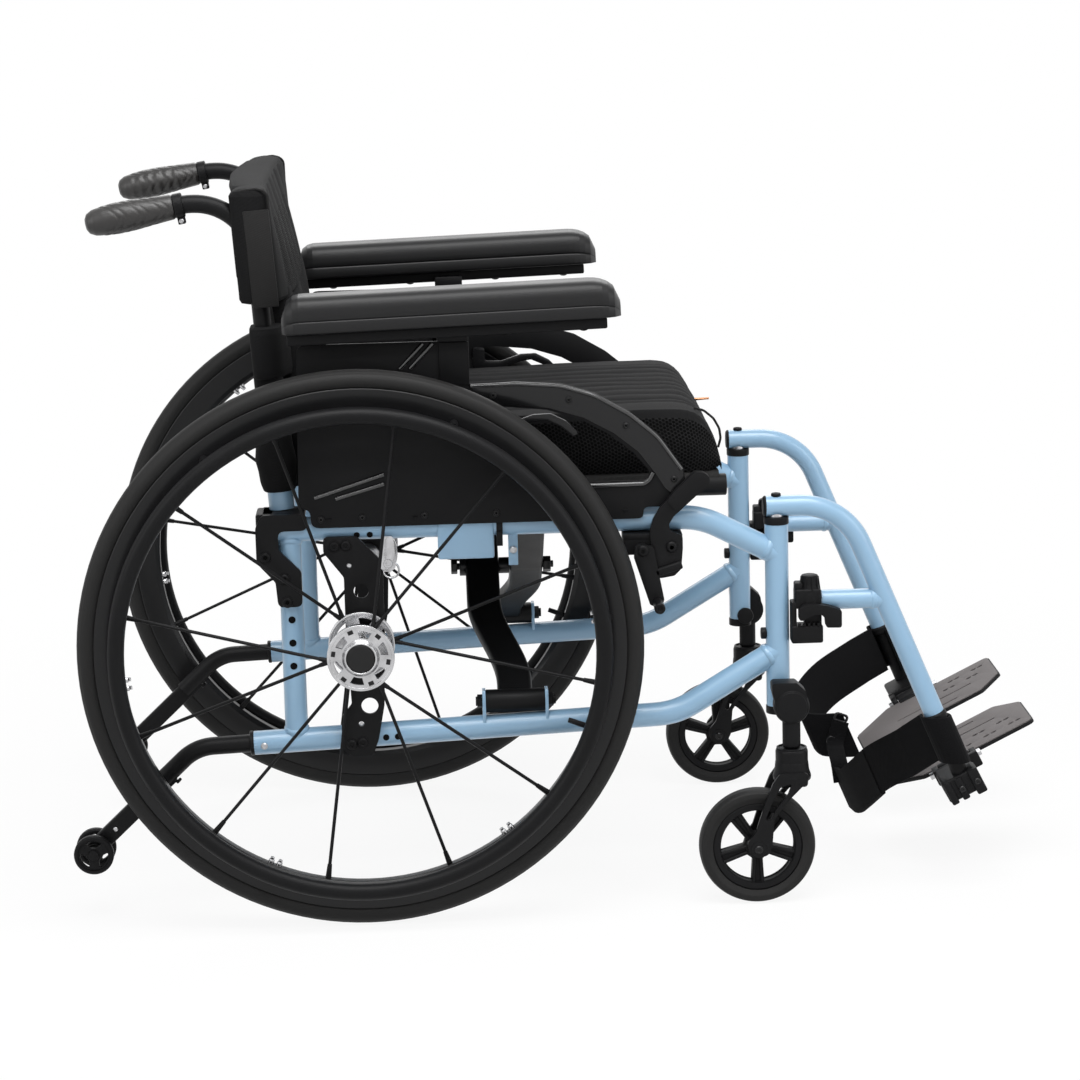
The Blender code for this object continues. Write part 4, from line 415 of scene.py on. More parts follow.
# Stands a plate across the chair: its outline in Y and Z, and its thickness along X.
crosswise = Matrix(((0, 1, 0, 0), (1, 0, 0, 0), (0, 0, 1, 0), (0, 0, 0, 1)))
ear_foot = rail_z(0.16) + 0.004
ear = [(-0.011, ear_foot), (0.011, ear_foot), (0.011, 0.228), (0.007, 0.235), (-0.007, 0.235),
       (-0.011, 0.228)]
for x in (0.125, 0.1915):
    pressing(bm, [[(frame_y + y, z) for y, z in ear]], 0, 0.0035, 0.0004,
             stand=Matrix.Translation(at(x, 0, 0)) @ crosswise)
weld_bead(bm, at(upright_x, frame_y, rail_z(upright_x) + rail_radius - 0.001), (0, 0, 1), upright_radius,
          1.12)
weld_bead(bm, at(upright_x, frame_y, upper_z - rail_radius + 0.001), (0, 0, 1), upright_radius, 0.88)
weld_bead(bm, at(post_x - 0.0105, frame_y, 0.379), (0.89, 0, -0.46), rail_radius, 1.06)
weld_bead(bm, at(post_x - 0.0095, frame_y, 0.2622), (0.86, 0, 0.51), rail_radius, 1.06)
pair("side_frame_tubes", bm, blue_coat, "frame", ["side_frame"])

# Holes drilled in the frame: three in the upright, three in the lower rail and two in the upper one, each
# of them a thin black disc with the shade inside the hole painted on it.
bm = bmesh.new()
for z in (0.32, 0.295, 0.27):
    rod(bm, at(upright_x, frame_y - 0.0115, z), at(upright_x, frame_y - 0.01235, z), 0.0038)
for x in (0.01, 0.022, 0.0345):
    rod(bm, at(x, frame_y - 0.0115, rail_z(x) - 0.001), at(x, frame_y - 0.013, rail_z(x) - 0.001), 0.0034)
for x in (-0.0015, 0.0121):
    rod(bm, at(x, frame_y - 0.01, 0.409), at(x, frame_y - 0.0121, 0.4085), 0.0032)
pair("frame_hole_shade_discs", bm, painted_hole_shade, "frame")


# Fittings of the frame: two small steel bolts, a black collar and plug for the front post, a plug in the
# lower rail, the hinge bolt of the cross brace, and the clip round the upper rail.


def button_screw(bm, centre, outward, radius=0.0048, height=0.0026):
    """A domed screw head with a six-sided socket."""
    turned(bm, [(radius * 0.42, height * 0.35), (radius * 0.42, height), (radius * 0.72, height * 0.92),
                (radius, height * 0.35), (radius, -0.0005), (radius * 0.4, -0.0005)], radius * 0.3,
           Vector(centre), outward, 20, arc=3)
    out = Vector(outward).normalized()
    rod(bm, Vector(centre) + out * height * 0.2, Vector(centre) + out * height * 0.4, radius * 0.44, sides=6)


pivot_z = 0.2225
bm = bmesh.new()
button_screw(bm, at(-0.107, frame_y - rail_radius, rail_z(-0.107) - 0.001), (0, -1, 0), 0.0038, 0.0018)
button_screw(bm, at(0.162, -0.2175, 0.386), (0, -1, 0), 0.0042, 0.002)
pair("frame_bolts", bm, steel, "frame")
bm = bmesh.new()
turned(bm, [(0.0095, 0.0), (0.0133, 0.0), (0.0133, 0.0085), (0.0095, 0.0085)], 0.0015,
       at(post_x, frame_y, 0.4045), (0, 0, 1), 40)
turned(bm, [(0.0, -0.0002), (0.0131, -0.0002), (0.0131, 0.008), (0.0125, 0.0085), (0.0, 0.0085)], 0.001,
       at(post_x, frame_y, 0.2), (0, 0, 1), 40)
for start in (0.1195, 0.194):
    rod(bm, at(start, frame_y, pivot_z), at(start + 0.0065, frame_y, pivot_z), 0.0075, sides=6, edge=0.0006)
rod(bm, at(0.118, frame_y, pivot_z), at(0.203, frame_y, pivot_z), 0.005)
rod(bm, at(0.4222, frame_y, 0.2867), at(0.4285, frame_y, 0.2867), 0.0062, sides=28, edge=0.0012)
lathe(bm, [(0.0129, 0), (0.0141, 0), (0.0141, 0.0066), (0.0129, 0.0066)], at(0.1447, frame_y, upper_z),
      (1, 0, 0), 40)
block(bm, at(0.1449, -0.2288, 0.3925), at(0.1511, -0.227, 0.408), 0.0005, 2)
pair("post_collars", bm, satin_black, "frame")

# Axle plates: black anodised alloy plate 5 mm thick, bolted across both rails by button screws, with a
# row of axle places. A polished clamp with a pull ring hangs at the front edge under the upper rail.
bm = bmesh.new()
plate_inner = frame_y - rail_radius - 0.0003
plate_outer = plate_inner - 0.005
plate_pins = ((-0.0105, 0.377), (-0.0035, 0.2062))
plate_edge = rounded_outline([(-0.037, 0.4082), (-0.037, 0.392), (-0.0165, 0.365), (-0.0165, 0.3),
                              (-0.013, 0.228), (-0.0246, 0.214), (-0.0246, 0.18), (-0.014, 0.1715),
                              (0.008, 0.1715), (0.0145, 0.19), (0.0215, 0.226), (0.0245, 0.3),
                              (0.0245, 0.38), (-0.002, 0.4082)], 0.006)
plate_holes = [circle(0, 0.295, 0.0123, 32), circle(0.006, 0.2256, 0.009), circle(0.001, 0.3496, 0.0078),
               circle(*plate_pins[0], 0.0026, 12), circle(*plate_pins[1], 0.003, 12)]
pressing(bm, [plate_edge] + plate_holes, plate_outer, plate_inner, 0.0005)
pair("axle_plate_sheet", bm, satin_black, "frame", ["axle_plate"])
bm = bmesh.new()
for x, z in ((-0.0255, 0.3982), (-0.0133, 0.3989), (-0.0143, 0.1844), (-0.0026, 0.1862)):
    button_screw(bm, at(x, plate_outer, z), (0, -1, 0), 0.006, 0.0032)
pair("axle_plate_screws", bm, satin_black, "frame", ["axle_plate"])
chrome = finish("polished_aluminium", (0.52, 0.52, 0.53), 70, 0.35, (0.14, 0.32), 900, 0.00003, metallic=1.0)
bm = bmesh.new()
for x, z in plate_pins:
    rod(bm, at(x, plate_outer + 0.0024, z), at(x, plate_outer + 0.0034, z), 0.0021, sides=6)
clamp_edge = rounded_outline([(0.024, 0.4078), (0.0362, 0.4078), (0.0385, 0.383), (0.038, 0.3742),
                              (0.0335, 0.37), (0.0265, 0.37), (0.0222, 0.3742), (0.0218, 0.384)], 0.003)
pressing(bm, [clamp_edge], plate_outer - 0.0022, plate_inner - 0.001, 0.001)
lathe(bm, [(0.0026, 0), (0.0044, 0), (0.0048, 0.0006), (0.0044, 0.0011), (0.0026, 0.0011)],
      at(0.0302, plate_outer - 0.0021, 0.3788), (0, -1, 0), 28)
lathe(bm, circle(0.0086, 0, 0.0012, 10), at(0.033, plate_outer + 0.0015, 0.3712), (0.15, 1, 0.1), 40)
pair("axle_plate_bright_parts", bm, chrome, "frame", ["axle_plate"])

# Quick-release axles: ground steel pins that slide through the hub into a receiver, which clamps the
# plate between two flanges.
bm = bmesh.new()
wheel_y, wheel_radius, hub_y = -0.27, 0.295, -0.274
hub_centre = at(0, wheel_y, wheel_radius)
outer_flange, inner_flange = hub_y - 0.031, hub_y + 0.031
turned(bm, [(0, 0.2098), (0.012, 0.2098), (0.015, 0.2178), (0.015, 0.2276), (0.012, 0.2278), (0.012, 0.233),
            (0.015, 0.2333), (0.015, 0.2384), (0.0063, 0.2384), (0.0063, 0.3012), (0, 0.3022)], 0.0008,
       at(0, 0, wheel_radius), (0, -1, 0), 48)
pair("wheel_axle_pin", bm, steel, "frame", ["wheel_axle"])

# Rear tyres: slick high-pressure tyres, black rubber with a fine mould line at each shoulder. The foot
# sits between the rim's flanges.
tyre_rubber = finish("tyre_rubber", (0.012, 0.0118, 0.0117), 14, 0.16, (0.48, 0.66), 700, 0.00009, gleam=0.2)
bm = bmesh.new()
tread = [(0.2836 + 0.0114 * cos(t) - (0.0005 if abs(abs(degrees(t)) - 42) < 3 else 0), 0.0125 * sin(t))
         for t in (radians(-132 + 6 * k) for k in range(45))]
lathe(bm, tread + [(0.2722, 0.0089), (0.2722, -0.0089)], hub_centre, (0, 1, 0), 128)
pair("rear_tyre_tread", bm, tyre_rubber, "wheel", ["rear_tyre"], sharp=50)

# Rear wheels: a deep black rim, twelve thick black spokes that plug into six sockets, three on each
# flange, and a turned and polished hub whose flanges are lightened by windows.
gloss_black = finish("black_anodised_gloss", black, 12, 0.2, (0.26, 0.38), 900, 0.00003, gleam=0.2,
                     lacquer=(0.15, 0.15))
bm = bmesh.new()
half_rim = rounded_line([(0.2487, 0.0), (0.2487, 0.0058), (0.2542, 0.0096), (0.2757, 0.0119),
                         (0.2768, 0.0112), (0.2766, 0.0093), (0.2718, 0.0092), (0.2718, 0.0)], 0.0016, 4)
lathe(bm, half_rim + [(r, -w) for r, w in reversed(half_rim[1:-1])], hub_centre, (0, 1, 0), 128)
pair("rear_rim", bm, gloss_black, "wheel", ["rear_wheel"])


def toward(turn):
    """The direction in a wheel's plane at this angle, from forward at 0 to up at a right angle."""
    return Vector((cos(turn), 0, sin(turn)))


def window(x, z, middle, *arcs):
    """A window in a wheel whose centre is x and z, between an outer arc and an inner one.

    Each arc is a radius, half of its spread in degrees, and its number of points.
    """
    outline = []
    for (radius, spread, count), way in zip(arcs, (-1, 1)):
        turns = [middle + radians(way * spread * (1 - 2 * k / (count - 1))) for k in range(count)]
        outline += [(x + radius * cos(turn), z + radius * sin(turn)) for turn in turns]
    return outline


bm = bmesh.new()
for k in range(6):
    socket = radians(65 + 60 * k)
    flange = outer_flange if k % 2 == 0 else inner_flange
    start = toward(socket) * 0.0315 + at(0, flange, wheel_radius)
    for lean in (-15, 15):
        end = hub_centre + toward(socket + radians(lean)) * 0.25
        along = (end - start).normalized()
        rod(bm, start, end, 0.00185, sides=10)
        rod(bm, start, start + along * 0.012, 0.003, 0.0022, sides=10)
        rod(bm, end - along * 0.016, end, 0.0024, 0.0033, sides=10)
valve = toward(radians(-21))
rod(bm, hub_centre + valve * 0.25, hub_centre + valve * 0.229, 0.0032, 0.0028, sides=14, edge=0.0004)
pair("rear_spokes", bm, satin_black, "wheel", ["rear_wheel"])
bm = bmesh.new()
windows = [window(0, wheel_radius, radians(80 + 60 * k), (0.0285, 15, 5), (0.0212, 12, 3)) for k in range(6)]
for flange in (outer_flange, inner_flange):
    pressing(bm, [circle(0, wheel_radius, 0.035, 72)] + windows + [circle(0, wheel_radius, 0.011, 32)],
             flange - 0.0022, flange + 0.0022, 0.0003)
    for face in (-1, 1):
        turned(bm, [(0.0318, 0), (0.0318, 0.0009), (0.0335, 0.0013), (0.0349, 0.0009), (0.0349, 0)], 0.0004,
               at(0, flange + face * 0.0021, wheel_radius), (0, face, 0), 72, arc=3)
turned(bm, [(0.0068, 0.2378), (0.0165, 0.2378), (0.0195, 0.2402), (0.0195, 0.2462), (0.0125, 0.26),
            (0.0125, 0.288), (0.0195, 0.302), (0.0195, 0.3074), (0.0172, 0.31), (0.0168, 0.312),
            (0.015, 0.312), (0.0148, 0.3086), (0.0068, 0.308)], 0.0012, at(0, 0, wheel_radius), (0, -1, 0),
       64)
pair("rear_hub", bm, chrome, "wheel", ["rear_wheel"], sharp=28)
bm = bmesh.new()
for k in range(6):
    turn = radians(50 + 60 * k)
    for flange, face in ((outer_flange, -1), (inner_flange, 1)):
        spot = at(0, flange + face * 0.0021, wheel_radius) + toward(turn) * 0.0287
        block(bm, (-0.0029, -0.0006, -0.0022), (0.0029, 0.0006, 0.0022), 0.0004, 2,
              Matrix.Translation(spot) @ Matrix.Rotation(-turn + pi / 2, 4, "Y"))
turned(bm, [(0, 0.3068), (0.0146, 0.3068), (0.0146, 0.3112), (0.012, 0.312), (0, 0.3122)], 0.0012,
       at(0, 0, wheel_radius), (0, -1, 0), 48)
pair("rear_hub_cap", bm, gloss_black, "wheel", ["rear_wheel"])

# Handrims: satin black tube rolled to a hoop and welded, on six tabs that are screwed to the rim from its
# inside.
tab_turns = [radians(186.5 + 60 * k) for k in range(6)]
bm = bmesh.new()
hoop_y, hoop_radius = wheel_y - 0.033, 0.252
lathe(bm, circle(hoop_radius, 0, 0.009, 20), at(0, hoop_y, wheel_radius), (0, 1, 0), 128)
for out in map(toward, tab_turns):
    hoop_end, rim_end = at(0, hoop_y + 0.004, wheel_radius), at(0, wheel_y - 0.0108, wheel_radius)
    rod(bm, hoop_end + out * 0.2575, rim_end + out * 0.2585, 0.004, 0.0046, sides=14)
pair("handrim_hoop", bm, satin_black, "wheel", ["handrim"])
bm = bmesh.new()
for turn in tab_turns:
    out, side = toward(turn), toward(turn + pi / 2)
    for step in (-0.0045, 0.0045):
        spot = at(0, wheel_y - 0.0012, wheel_radius) + side * step
        rod(bm, spot + out * 0.2492, spot + out * 0.244, 0.0036, 0.003, sides=12, edge=0.0005)
        rod(bm, spot + out * 0.2445, spot + out * 0.2412, 0.0022, sides=6, edge=0.0002)
pair("handrim_screws", bm, chrome, "wheel", ["handrim"])

# Cross brace: two flat bars with rounded edges, satin black. Each turns on a lower rail by its sleeve
# and carries the seat rail of the other side, and one long bolt joins them where they cross.
pivot_x, cross_x, cross_z, arm_width, arm_thick, arm_gap = 0.16, 0.15625, 0.325, 0.037, 0.014, 0.0123
seat_rail_y, seat_rail_z, seat_rail_radius = 0.19, 0.444, 0.0115


def swept(bm, outline, stands):
    """Extrudes a flat outline from stand to stand. A stand is the matrix that places it."""
    ring = [bm.verts.new(stands[0] @ Vector((x, y, 0))) for x, y in outline]
    face = bm.faces.new(ring)
    for here, there in zip(stands, stands[1:]):
        face = faces_in(bmesh.ops.extrude_face_region(bm, geom=[face])["geom"])[0]
        bmesh.ops.transform(bm, matrix=there @ here.inverted(), verts=face.verts)


def slab(wide, tall):
    """The outline of a flat bar's section."""
    return [(-wide / 2, -tall / 2), (wide / 2, -tall / 2), (wide / 2, tall / 2), (-wide / 2, tall / 2)]


def framed(place, *directions):
    """The matrix that stands a thing at place with its X, Y and Z along three directions."""
    return Matrix.Translation(place) @ Matrix(directions).transposed().to_4x4()


def cross_arm(offset, side):
    """The arm that starts on this side's rail, with its bar's middle at cross_x + offset."""
    lower_half, upper_half = hypot(frame_y, cross_z - pivot_z), hypot(seat_rail_y, seat_rail_z - cross_z)
    lower_tilt, upper_tilt = atan2(cross_z - pivot_z, -frame_y), atan2(seat_rail_z - cross_z, seat_rail_y)
    shift = cross_x + offset - pivot_x
    stands = []
    for k in range(41):
        s = 0.008 + (lower_half + upper_half - 0.01) * k / 40
        ease = min(1, max(0, (s - 0.03) / 0.14))
        x = pivot_x + shift * ease * ease * (3 - 2 * ease)
        along = min(1, max(0, (s - lower_half + 0.03) / 0.06))
        tilt = lower_tilt + (upper_tilt - lower_tilt) * along
        if s <= lower_half:
            centre = at(x, frame_y + s * cos(lower_tilt), pivot_z + s * sin(lower_tilt))
        else:
            centre = at(x, (s - lower_half) * cos(upper_tilt), cross_z + (s - lower_half) * sin(upper_tilt))
        ahead, up = Vector((1, 0, 0)), Vector((0, -sin(tilt), cos(tilt)))
        stands.append(framed(centre, ahead, up, ahead.cross(up)))
    bm = bmesh.new()
    swept(bm, rounded_outline(slab(arm_width, arm_thick), 0.0045), stands)
    rod(bm, at(pivot_x - 0.0315, frame_y, pivot_z), at(pivot_x + 0.0315, frame_y, pivot_z), 0.0122, sides=40,
        edge=0.001)
    rod(bm, at(-0.055, seat_rail_y, seat_rail_z), at(0.39, seat_rail_y, seat_rail_z), seat_rail_radius,
        sides=32, edge=0.0015)
    if side > 0:
        bmesh.ops.scale(bm, vec=(1, -1, 1), verts=bm.verts)
        bmesh.ops.reverse_faces(bm, faces=bm.faces)
    return bm


arm_offset = (arm_width + arm_gap) / 2
bm = cross_arm(-arm_offset, -1)
finished("cross_arm_bar_A", bm, satin_black, "arm_A", ["cross_arm_A"])
bm = cross_arm(arm_offset, 1)
finished("cross_arm_bar_B", bm, satin_black, "arm_B", ["cross_arm_B"])
bm = bmesh.new()
bolt_end = cross_x + arm_gap / 2 + arm_width
for start, end, radius, sides in ((0.097, 0.104, 0.0085, 6), (0.1065, 0.114, 0.0105, 28),
                                  (0.1, bolt_end + 0.012, 0.0038, 20), (0.1502, 0.1621, 0.009, 24),
                                  (bolt_end + 0.0004, bolt_end + 0.009, 0.009, 6)):
    rod(bm, at(start, 0, cross_z), at(end, 0, cross_z), radius, sides=sides, edge=0.0007)
finished("cross_bolt", bm, gloss_black, "arm_A", ["cross_arm_A"])

# Caster housings: black nylon knuckles bolted through the foot of each front post, with a round cover
# outside and a turned sleeve round the stem below.
stem_x, stem_y, caster_radius, wheel_x, knuckle_z = 0.451, -0.2405, 0.062, 0.413, 0.2135
black_plastic = finish("grained_black_plastic", black, 40, 0.14, (0.42, 0.56), 1400, 0.00011, gleam=0.12)
bm = bmesh.new()
turned(bm, [(0, 0.2283), (0.015, 0.2283), (0.0186, 0.2305), (0.0189, 0.248), (0.0172, 0.251), (0.016, 0.2512),
            (0.0157, 0.2525), (0, 0.253)], 0.0015, at(stem_x, 0, knuckle_z), (0, -1, 0), 64)
knuckle_edge = rounded_outline([(0.43, 0.2395), (0.456, 0.2395), (0.466, 0.23), (0.468, 0.215),
                                (0.434, 0.215), (0.4305, 0.229)], 0.004)
pressing(bm, [knuckle_edge], -0.25, -0.2285, 0.003)
turned(bm, [(0, 0.2), (0.0096, 0.2), (0.0096, 0.17), (0.0088, 0.1678), (0, 0.1678)], 0.0008,
       at(stem_x, stem_y, 0), (0, 0, 1), 40)
rod(bm, at(stem_x - 0.006, -0.227, knuckle_z), at(stem_x - 0.006, -0.1983, knuckle_z), 0.0039)
rod(bm, at(stem_x - 0.006, -0.202, knuckle_z), at(stem_x - 0.006, -0.1975, knuckle_z), 0.0095, sides=32,
    edge=0.0012)
rod(bm, at(stem_x, stem_y, 0.168), at(stem_x, stem_y, 0.1332), 0.0059)
pair("caster_knuckle", bm, black_plastic, "frame", ["caster_housing"])

# Caster forks: die-cast alloy, coated satin black. A bearing head turns on the stem, and two open legs
# sweep back to the axle.
bm = bmesh.new()
turned(bm, [(0.0065, 0.1667), (0.015, 0.1672), (0.0164, 0.1664), (0.0172, 0.164), (0.0172, 0.145),
            (0.0176, 0.139), (0.0176, 0.1302), (0.0065, 0.1302)], 0.001, at(stem_x, stem_y, 0), (0, 0, 1), 48)
turned(bm, [(0.014, 0.1668), (0.0158, 0.1668), (0.0162, 0.1682), (0.014, 0.1684)], 0.0004,
       at(stem_x, stem_y, 0), (0, 0, 1), 48)
block(bm, at(stem_x - 0.0175, stem_y - 0.0156, 0.1266), at(stem_x + 0.016, stem_y + 0.0156, 0.1398), 0.004, 3)
turned(bm, [(0.0168, 0.153), (0.0174, 0.153), (0.0184, 0.144), (0.0204, 0.1375), (0.02, 0.133),
            (0.0168, 0.133)], 0.003, at(stem_x, stem_y, 0), (0, 0, 1), 48)
leg = rounded_outline([(0.437, 0.144), (0.429, 0.133), (0.4205, 0.112), (0.41, 0.08), (0.401, 0.069),
                       (0.4035, 0.057), (0.4125, 0.0517), (0.4235, 0.0555), (0.4275, 0.064), (0.43, 0.094),
                       (0.4385, 0.106), (0.449, 0.118), (0.462, 0.131), (0.4675, 0.14), (0.464, 0.144)],
                      0.007)
leg_slot = rounded_outline([(0.45, 0.1345), (0.437, 0.129), (0.427, 0.111), (0.4205, 0.094), (0.4255, 0.093),
                            (0.432, 0.105), (0.445, 0.121)], 0.003)
for low in (stem_y - 0.02, stem_y + 0.015):
    pressing(bm, [leg, leg_slot], low, low + 0.005, 0.0012)
for side in (-1, 1):
    rod(bm, at(wheel_x, stem_y + side * 0.015, caster_radius),
        at(wheel_x, stem_y + side * 0.0212, caster_radius), 0.0088, 0.008, sides=28, edge=0.0008)
rod(bm, at(wheel_x, stem_y - 0.02, caster_radius), at(wheel_x, stem_y + 0.02, caster_radius), 0.004)
pair("caster_fork_casting", bm, satin_black, "fork", ["caster_fork"])
bm = bmesh.new()
for side in (-1, 1):
    button_screw(bm, at(wheel_x, stem_y + side * 0.021, caster_radius), (0, side, 0), 0.0046, 0.0022)
pair("caster_axle_screws", bm, gloss_black, "fork", ["caster_fork"])

# Caster wheels: moulded nylon with five spokes, each of them two ribs on a thin web, and solid rubber
# tyres pressed on.
bm = bmesh.new()
windows = [rounded_outline(window(wheel_x, caster_radius, radians(126 + 72 * k), (0.0408, 27.5, 9),
                                  (0.015, 15, 2)), 0.003) for k in range(5)]
pressing(bm, [circle(wheel_x, caster_radius, 0.044, 60)] + windows
         + [circle(wheel_x, caster_radius, 0.0045, 20)], stem_y - 0.0055, stem_y + 0.0055, 0.0008)
turned(bm, [(0.0405, -0.0095), (0.046, -0.0098), (0.0477, -0.0088), (0.0477, 0.0088), (0.046, 0.0098),
            (0.0405, 0.0095), (0.0392, 0.007), (0.0405, 0.004), (0.0405, -0.004), (0.0392, -0.007)], 0.001,
       at(wheel_x, stem_y, caster_radius), (0, 1, 0), 72)
turned(bm, [(0.0045, -0.013), (0.009, -0.013), (0.0125, -0.0095), (0.0125, 0.0095), (0.009, 0.013),
            (0.0045, 0.013)], 0.0012, at(wheel_x, stem_y, caster_radius), (0, 1, 0), 48)
for k in range(5):
    turn = radians(90 + 72 * k)
    out, side = toward(turn), toward(turn + pi / 2)
    for face in (-1, 1):
        middle = at(wheel_x, stem_y + face * 0.006, caster_radius)
        for edge in (-1, 1):
            rod(bm, middle + out * 0.01 + side * edge * 0.003, middle + out * 0.0415 + side * edge * 0.0048,
                0.0021, sides=14)
near_wheel = pair("caster_wheel_moulding", bm, black_plastic, "caster", ["caster_wheel"])[0]
hub = Matrix.Translation(at(wheel_x, 0, caster_radius))
near_wheel.data.transform(hub @ Matrix.Rotation(pi / 5, 4, "Y") @ hub.inverted())
bm = bmesh.new()
turned(bm, [(0.0478, -0.01), (0.054, -0.0128), (0.06, -0.0118), (0.0619, -0.005), (0.0619, 0.005),
            (0.06, 0.0118), (0.054, 0.0128), (0.0478, 0.01)], 0.004, at(wheel_x, stem_y, caster_radius),
       (0, 1, 0), 96, arc=6)
pair("caster_tyre_ring", bm, tyre_rubber, "caster", ["caster_tyre"], sharp=50)

# Hangers: bent tube, powder-coated as the frame, that drops over each front post by a steel pin. A short
# brace runs back to the latch, and black caps close the tube.
hanger_slope, knee_x, hanger_z, brace_z, hanger_end_z = radians(22.5), 0.5115, 0.4235, 0.321, 0.194


def hanger_x(z):
    """Where the hanger's sloping tube is at this height."""
    return knee_x + (hanger_z - z) * tan(hanger_slope)


bm = bmesh.new()
bent_tube(bm, [at(0.4285, frame_y, hanger_z), at(knee_x, frame_y, hanger_z),
               at(hanger_x(hanger_end_z), frame_y, hanger_end_z)], 0.011, 0.07)
bent_tube(bm, [at(0.487, frame_y, brace_z), at(hanger_x(brace_z), frame_y, brace_z)], 0.0105)
weld_bead(bm, at(hanger_x(brace_z) - 0.0122, frame_y, brace_z), (1, 0, 0), 0.0103, 1.08)
pair("hanger_tube", bm, blue_coat, "hanger", ["hanger"])
bm = bmesh.new()
turned(bm, [(0, -0.0026), (0.0092, -0.0026), (0.0111, -0.001), (0.0111, 0.001), (0, 0.001)], 0.0008,
       at(0.4284, frame_y, hanger_z), (1, 0, 0), 32)
turned(bm, [(0, 0), (0.0052, 0), (0.0052, 0.0022), (0.0046, 0.0034), (0.0022, 0.0036), (0.002, 0.0022),
            (0, 0.0022)], 0.0005, at(0.44, frame_y, hanger_z + 0.0104), (0, 0, 1), 24)
pair("hanger_caps", bm, black_plastic, "hanger", ["hanger"])
bm = bmesh.new()
rod(bm, at(0.44, frame_y, 0.3652), at(0.44, frame_y, hanger_z), 0.008, sides=28, edge=0.001)
pair("hanger_post_pin", bm, steel, "hanger", ["hanger"])

# Hanger latches: glass-filled nylon jaws that close on the front post, a thumb lever and a tall round
# release button. A pin head shows behind the post.
bm = bmesh.new()
latch_rear, button_x, button_y = 0.4533, 0.474, -0.221
block(bm, at(latch_rear, -0.233, 0.2778), at(0.4868, -0.2112, 0.2972), 0.0022, 3)
block(bm, at(latch_rear, -0.232, 0.2952), at(0.459, -0.2125, 0.3225), 0.0016, 2)
block(bm, at(0.4575, -0.232, 0.315), at(0.485, -0.211, 0.336), 0.0022, 3)
block(bm, at(0.4576, -0.229, 0.333), at(0.466, -0.213, 0.3425), 0.0018, 2)
block(bm, at(0.468, -0.229, 0.296), at(0.4858, -0.2105, 0.316), 0.0015, 2)
turned(bm, [(0, 0.35), (0.006, 0.3503), (0.0088, 0.3495), (0.0092, 0.34), (0.0118, 0.329), (0.0125, 0.32),
            (0.012, 0.316), (0, 0.316)], 0.001, at(button_x, button_y, 0), (0, 0, 1), 36)
for k in range(9):
    turn = 2 * pi * k / 9
    rod(bm, at(button_x + 0.0088 * cos(turn), button_y + 0.0088 * sin(turn), 0.348),
        at(button_x + 0.0118 * cos(turn), button_y + 0.0118 * sin(turn), 0.324), 0.001, sides=8)
for k in range(5):
    block(bm, at(0.4605 + 0.005 * k, -0.2338, 0.2965), at(0.4632 + 0.005 * k, -0.229, 0.3), 0.0004, 1)
thumb_edge = rounded_outline([(0.461, 0.3165), (0.461, 0.304), (0.465, 0.3035), (0.47, 0.3065),
                              (0.477, 0.3095), (0.4845, 0.3095), (0.4885, 0.3055), (0.4895, 0.2955),
                              (0.506, 0.295), (0.506, 0.3135), (0.492, 0.3185), (0.476, 0.3215),
                              (0.466, 0.3205)], 0.003)
pressing(bm, [thumb_edge], -0.2378, -0.2255, 0.001)
pair("hanger_latch_body", bm, black_plastic, "latch", ["hanger_latch"])

# Footplate clamps: black nylon blocks at the foot of each extension tube, with two lugs for the hinge
# pin and thick ribs between. A collar closes the joint below the hanger.
pitch, hinge_y = radians(26.5), -0.159
hinge = at(0.66 - 0.024 * cos(pitch), hinge_y, 0.1315 - 0.024 * sin(pitch))
tread_stand = Matrix.Translation((hinge.x, 0, hinge.z)) @ Matrix.Rotation(-pitch, 4, "Y")
down = Vector((sin(hanger_slope), 0, -cos(hanger_slope)))
hanger_foot = at(hanger_x(hanger_end_z), frame_y, hanger_end_z)
bm = bmesh.new()
rod(bm, hanger_foot + down * 0.001, hanger_foot + down * 0.082, 0.0088, sides=32)
turned(bm, [(0.008, 0.0003), (0.0112, 0.0003), (0.0125, 0.0018), (0.0125, 0.0078), (0.0115, 0.0092),
            (0.008, 0.0092)], 0.0008, hanger_foot, down, 40)
block(bm, (-0.025, -0.2275, -0.0165), (0.0155, -0.1715, 0.0088), 0.003, 3, tread_stand)
for low, high in (((-0.0238, -0.2298, -0.019), (-0.0158, -0.205, 0.0072)),
                  ((-0.011, -0.2298, -0.019), (-0.003, -0.205, 0.0072)),
                  ((0.0055, -0.2305, -0.0205), (0.0167, -0.205, 0.0088)),
                  ((-0.0265, -0.1792, -0.0088), (0.0265, -0.1712, 0.0088))):
    block(bm, low, high, 0.0018, 2, tread_stand)
for low in (-0.026, 0.0195):
    nose = [(hinge_y + 0.008 * cos(a), 0.008 * sin(a)) for a in (radians(-90 + 15 * k) for k in range(13))]
    lug = [(hinge_y - 0.014, -0.008)] + nose + [(hinge_y - 0.014, 0.008)]
    pressing(bm, [lug, circle(hinge_y, 0, 0.0045, 20)], low, low + 0.0065, 0.0006,
             stand=tread_stand @ crosswise)
pair("footplate_clamp_block", bm, black_plastic, "hanger", ["footplate_clamp"])
bm = bmesh.new()
for u in (-0.007, 0.011):
    button_screw(bm, tread_stand @ Vector((u, -0.23, -0.006)), (0, -1, 0), 0.0038, 0.002)
pair("footplate_clamp_screws", bm, gloss_black, "hanger", ["footplate_clamp"])

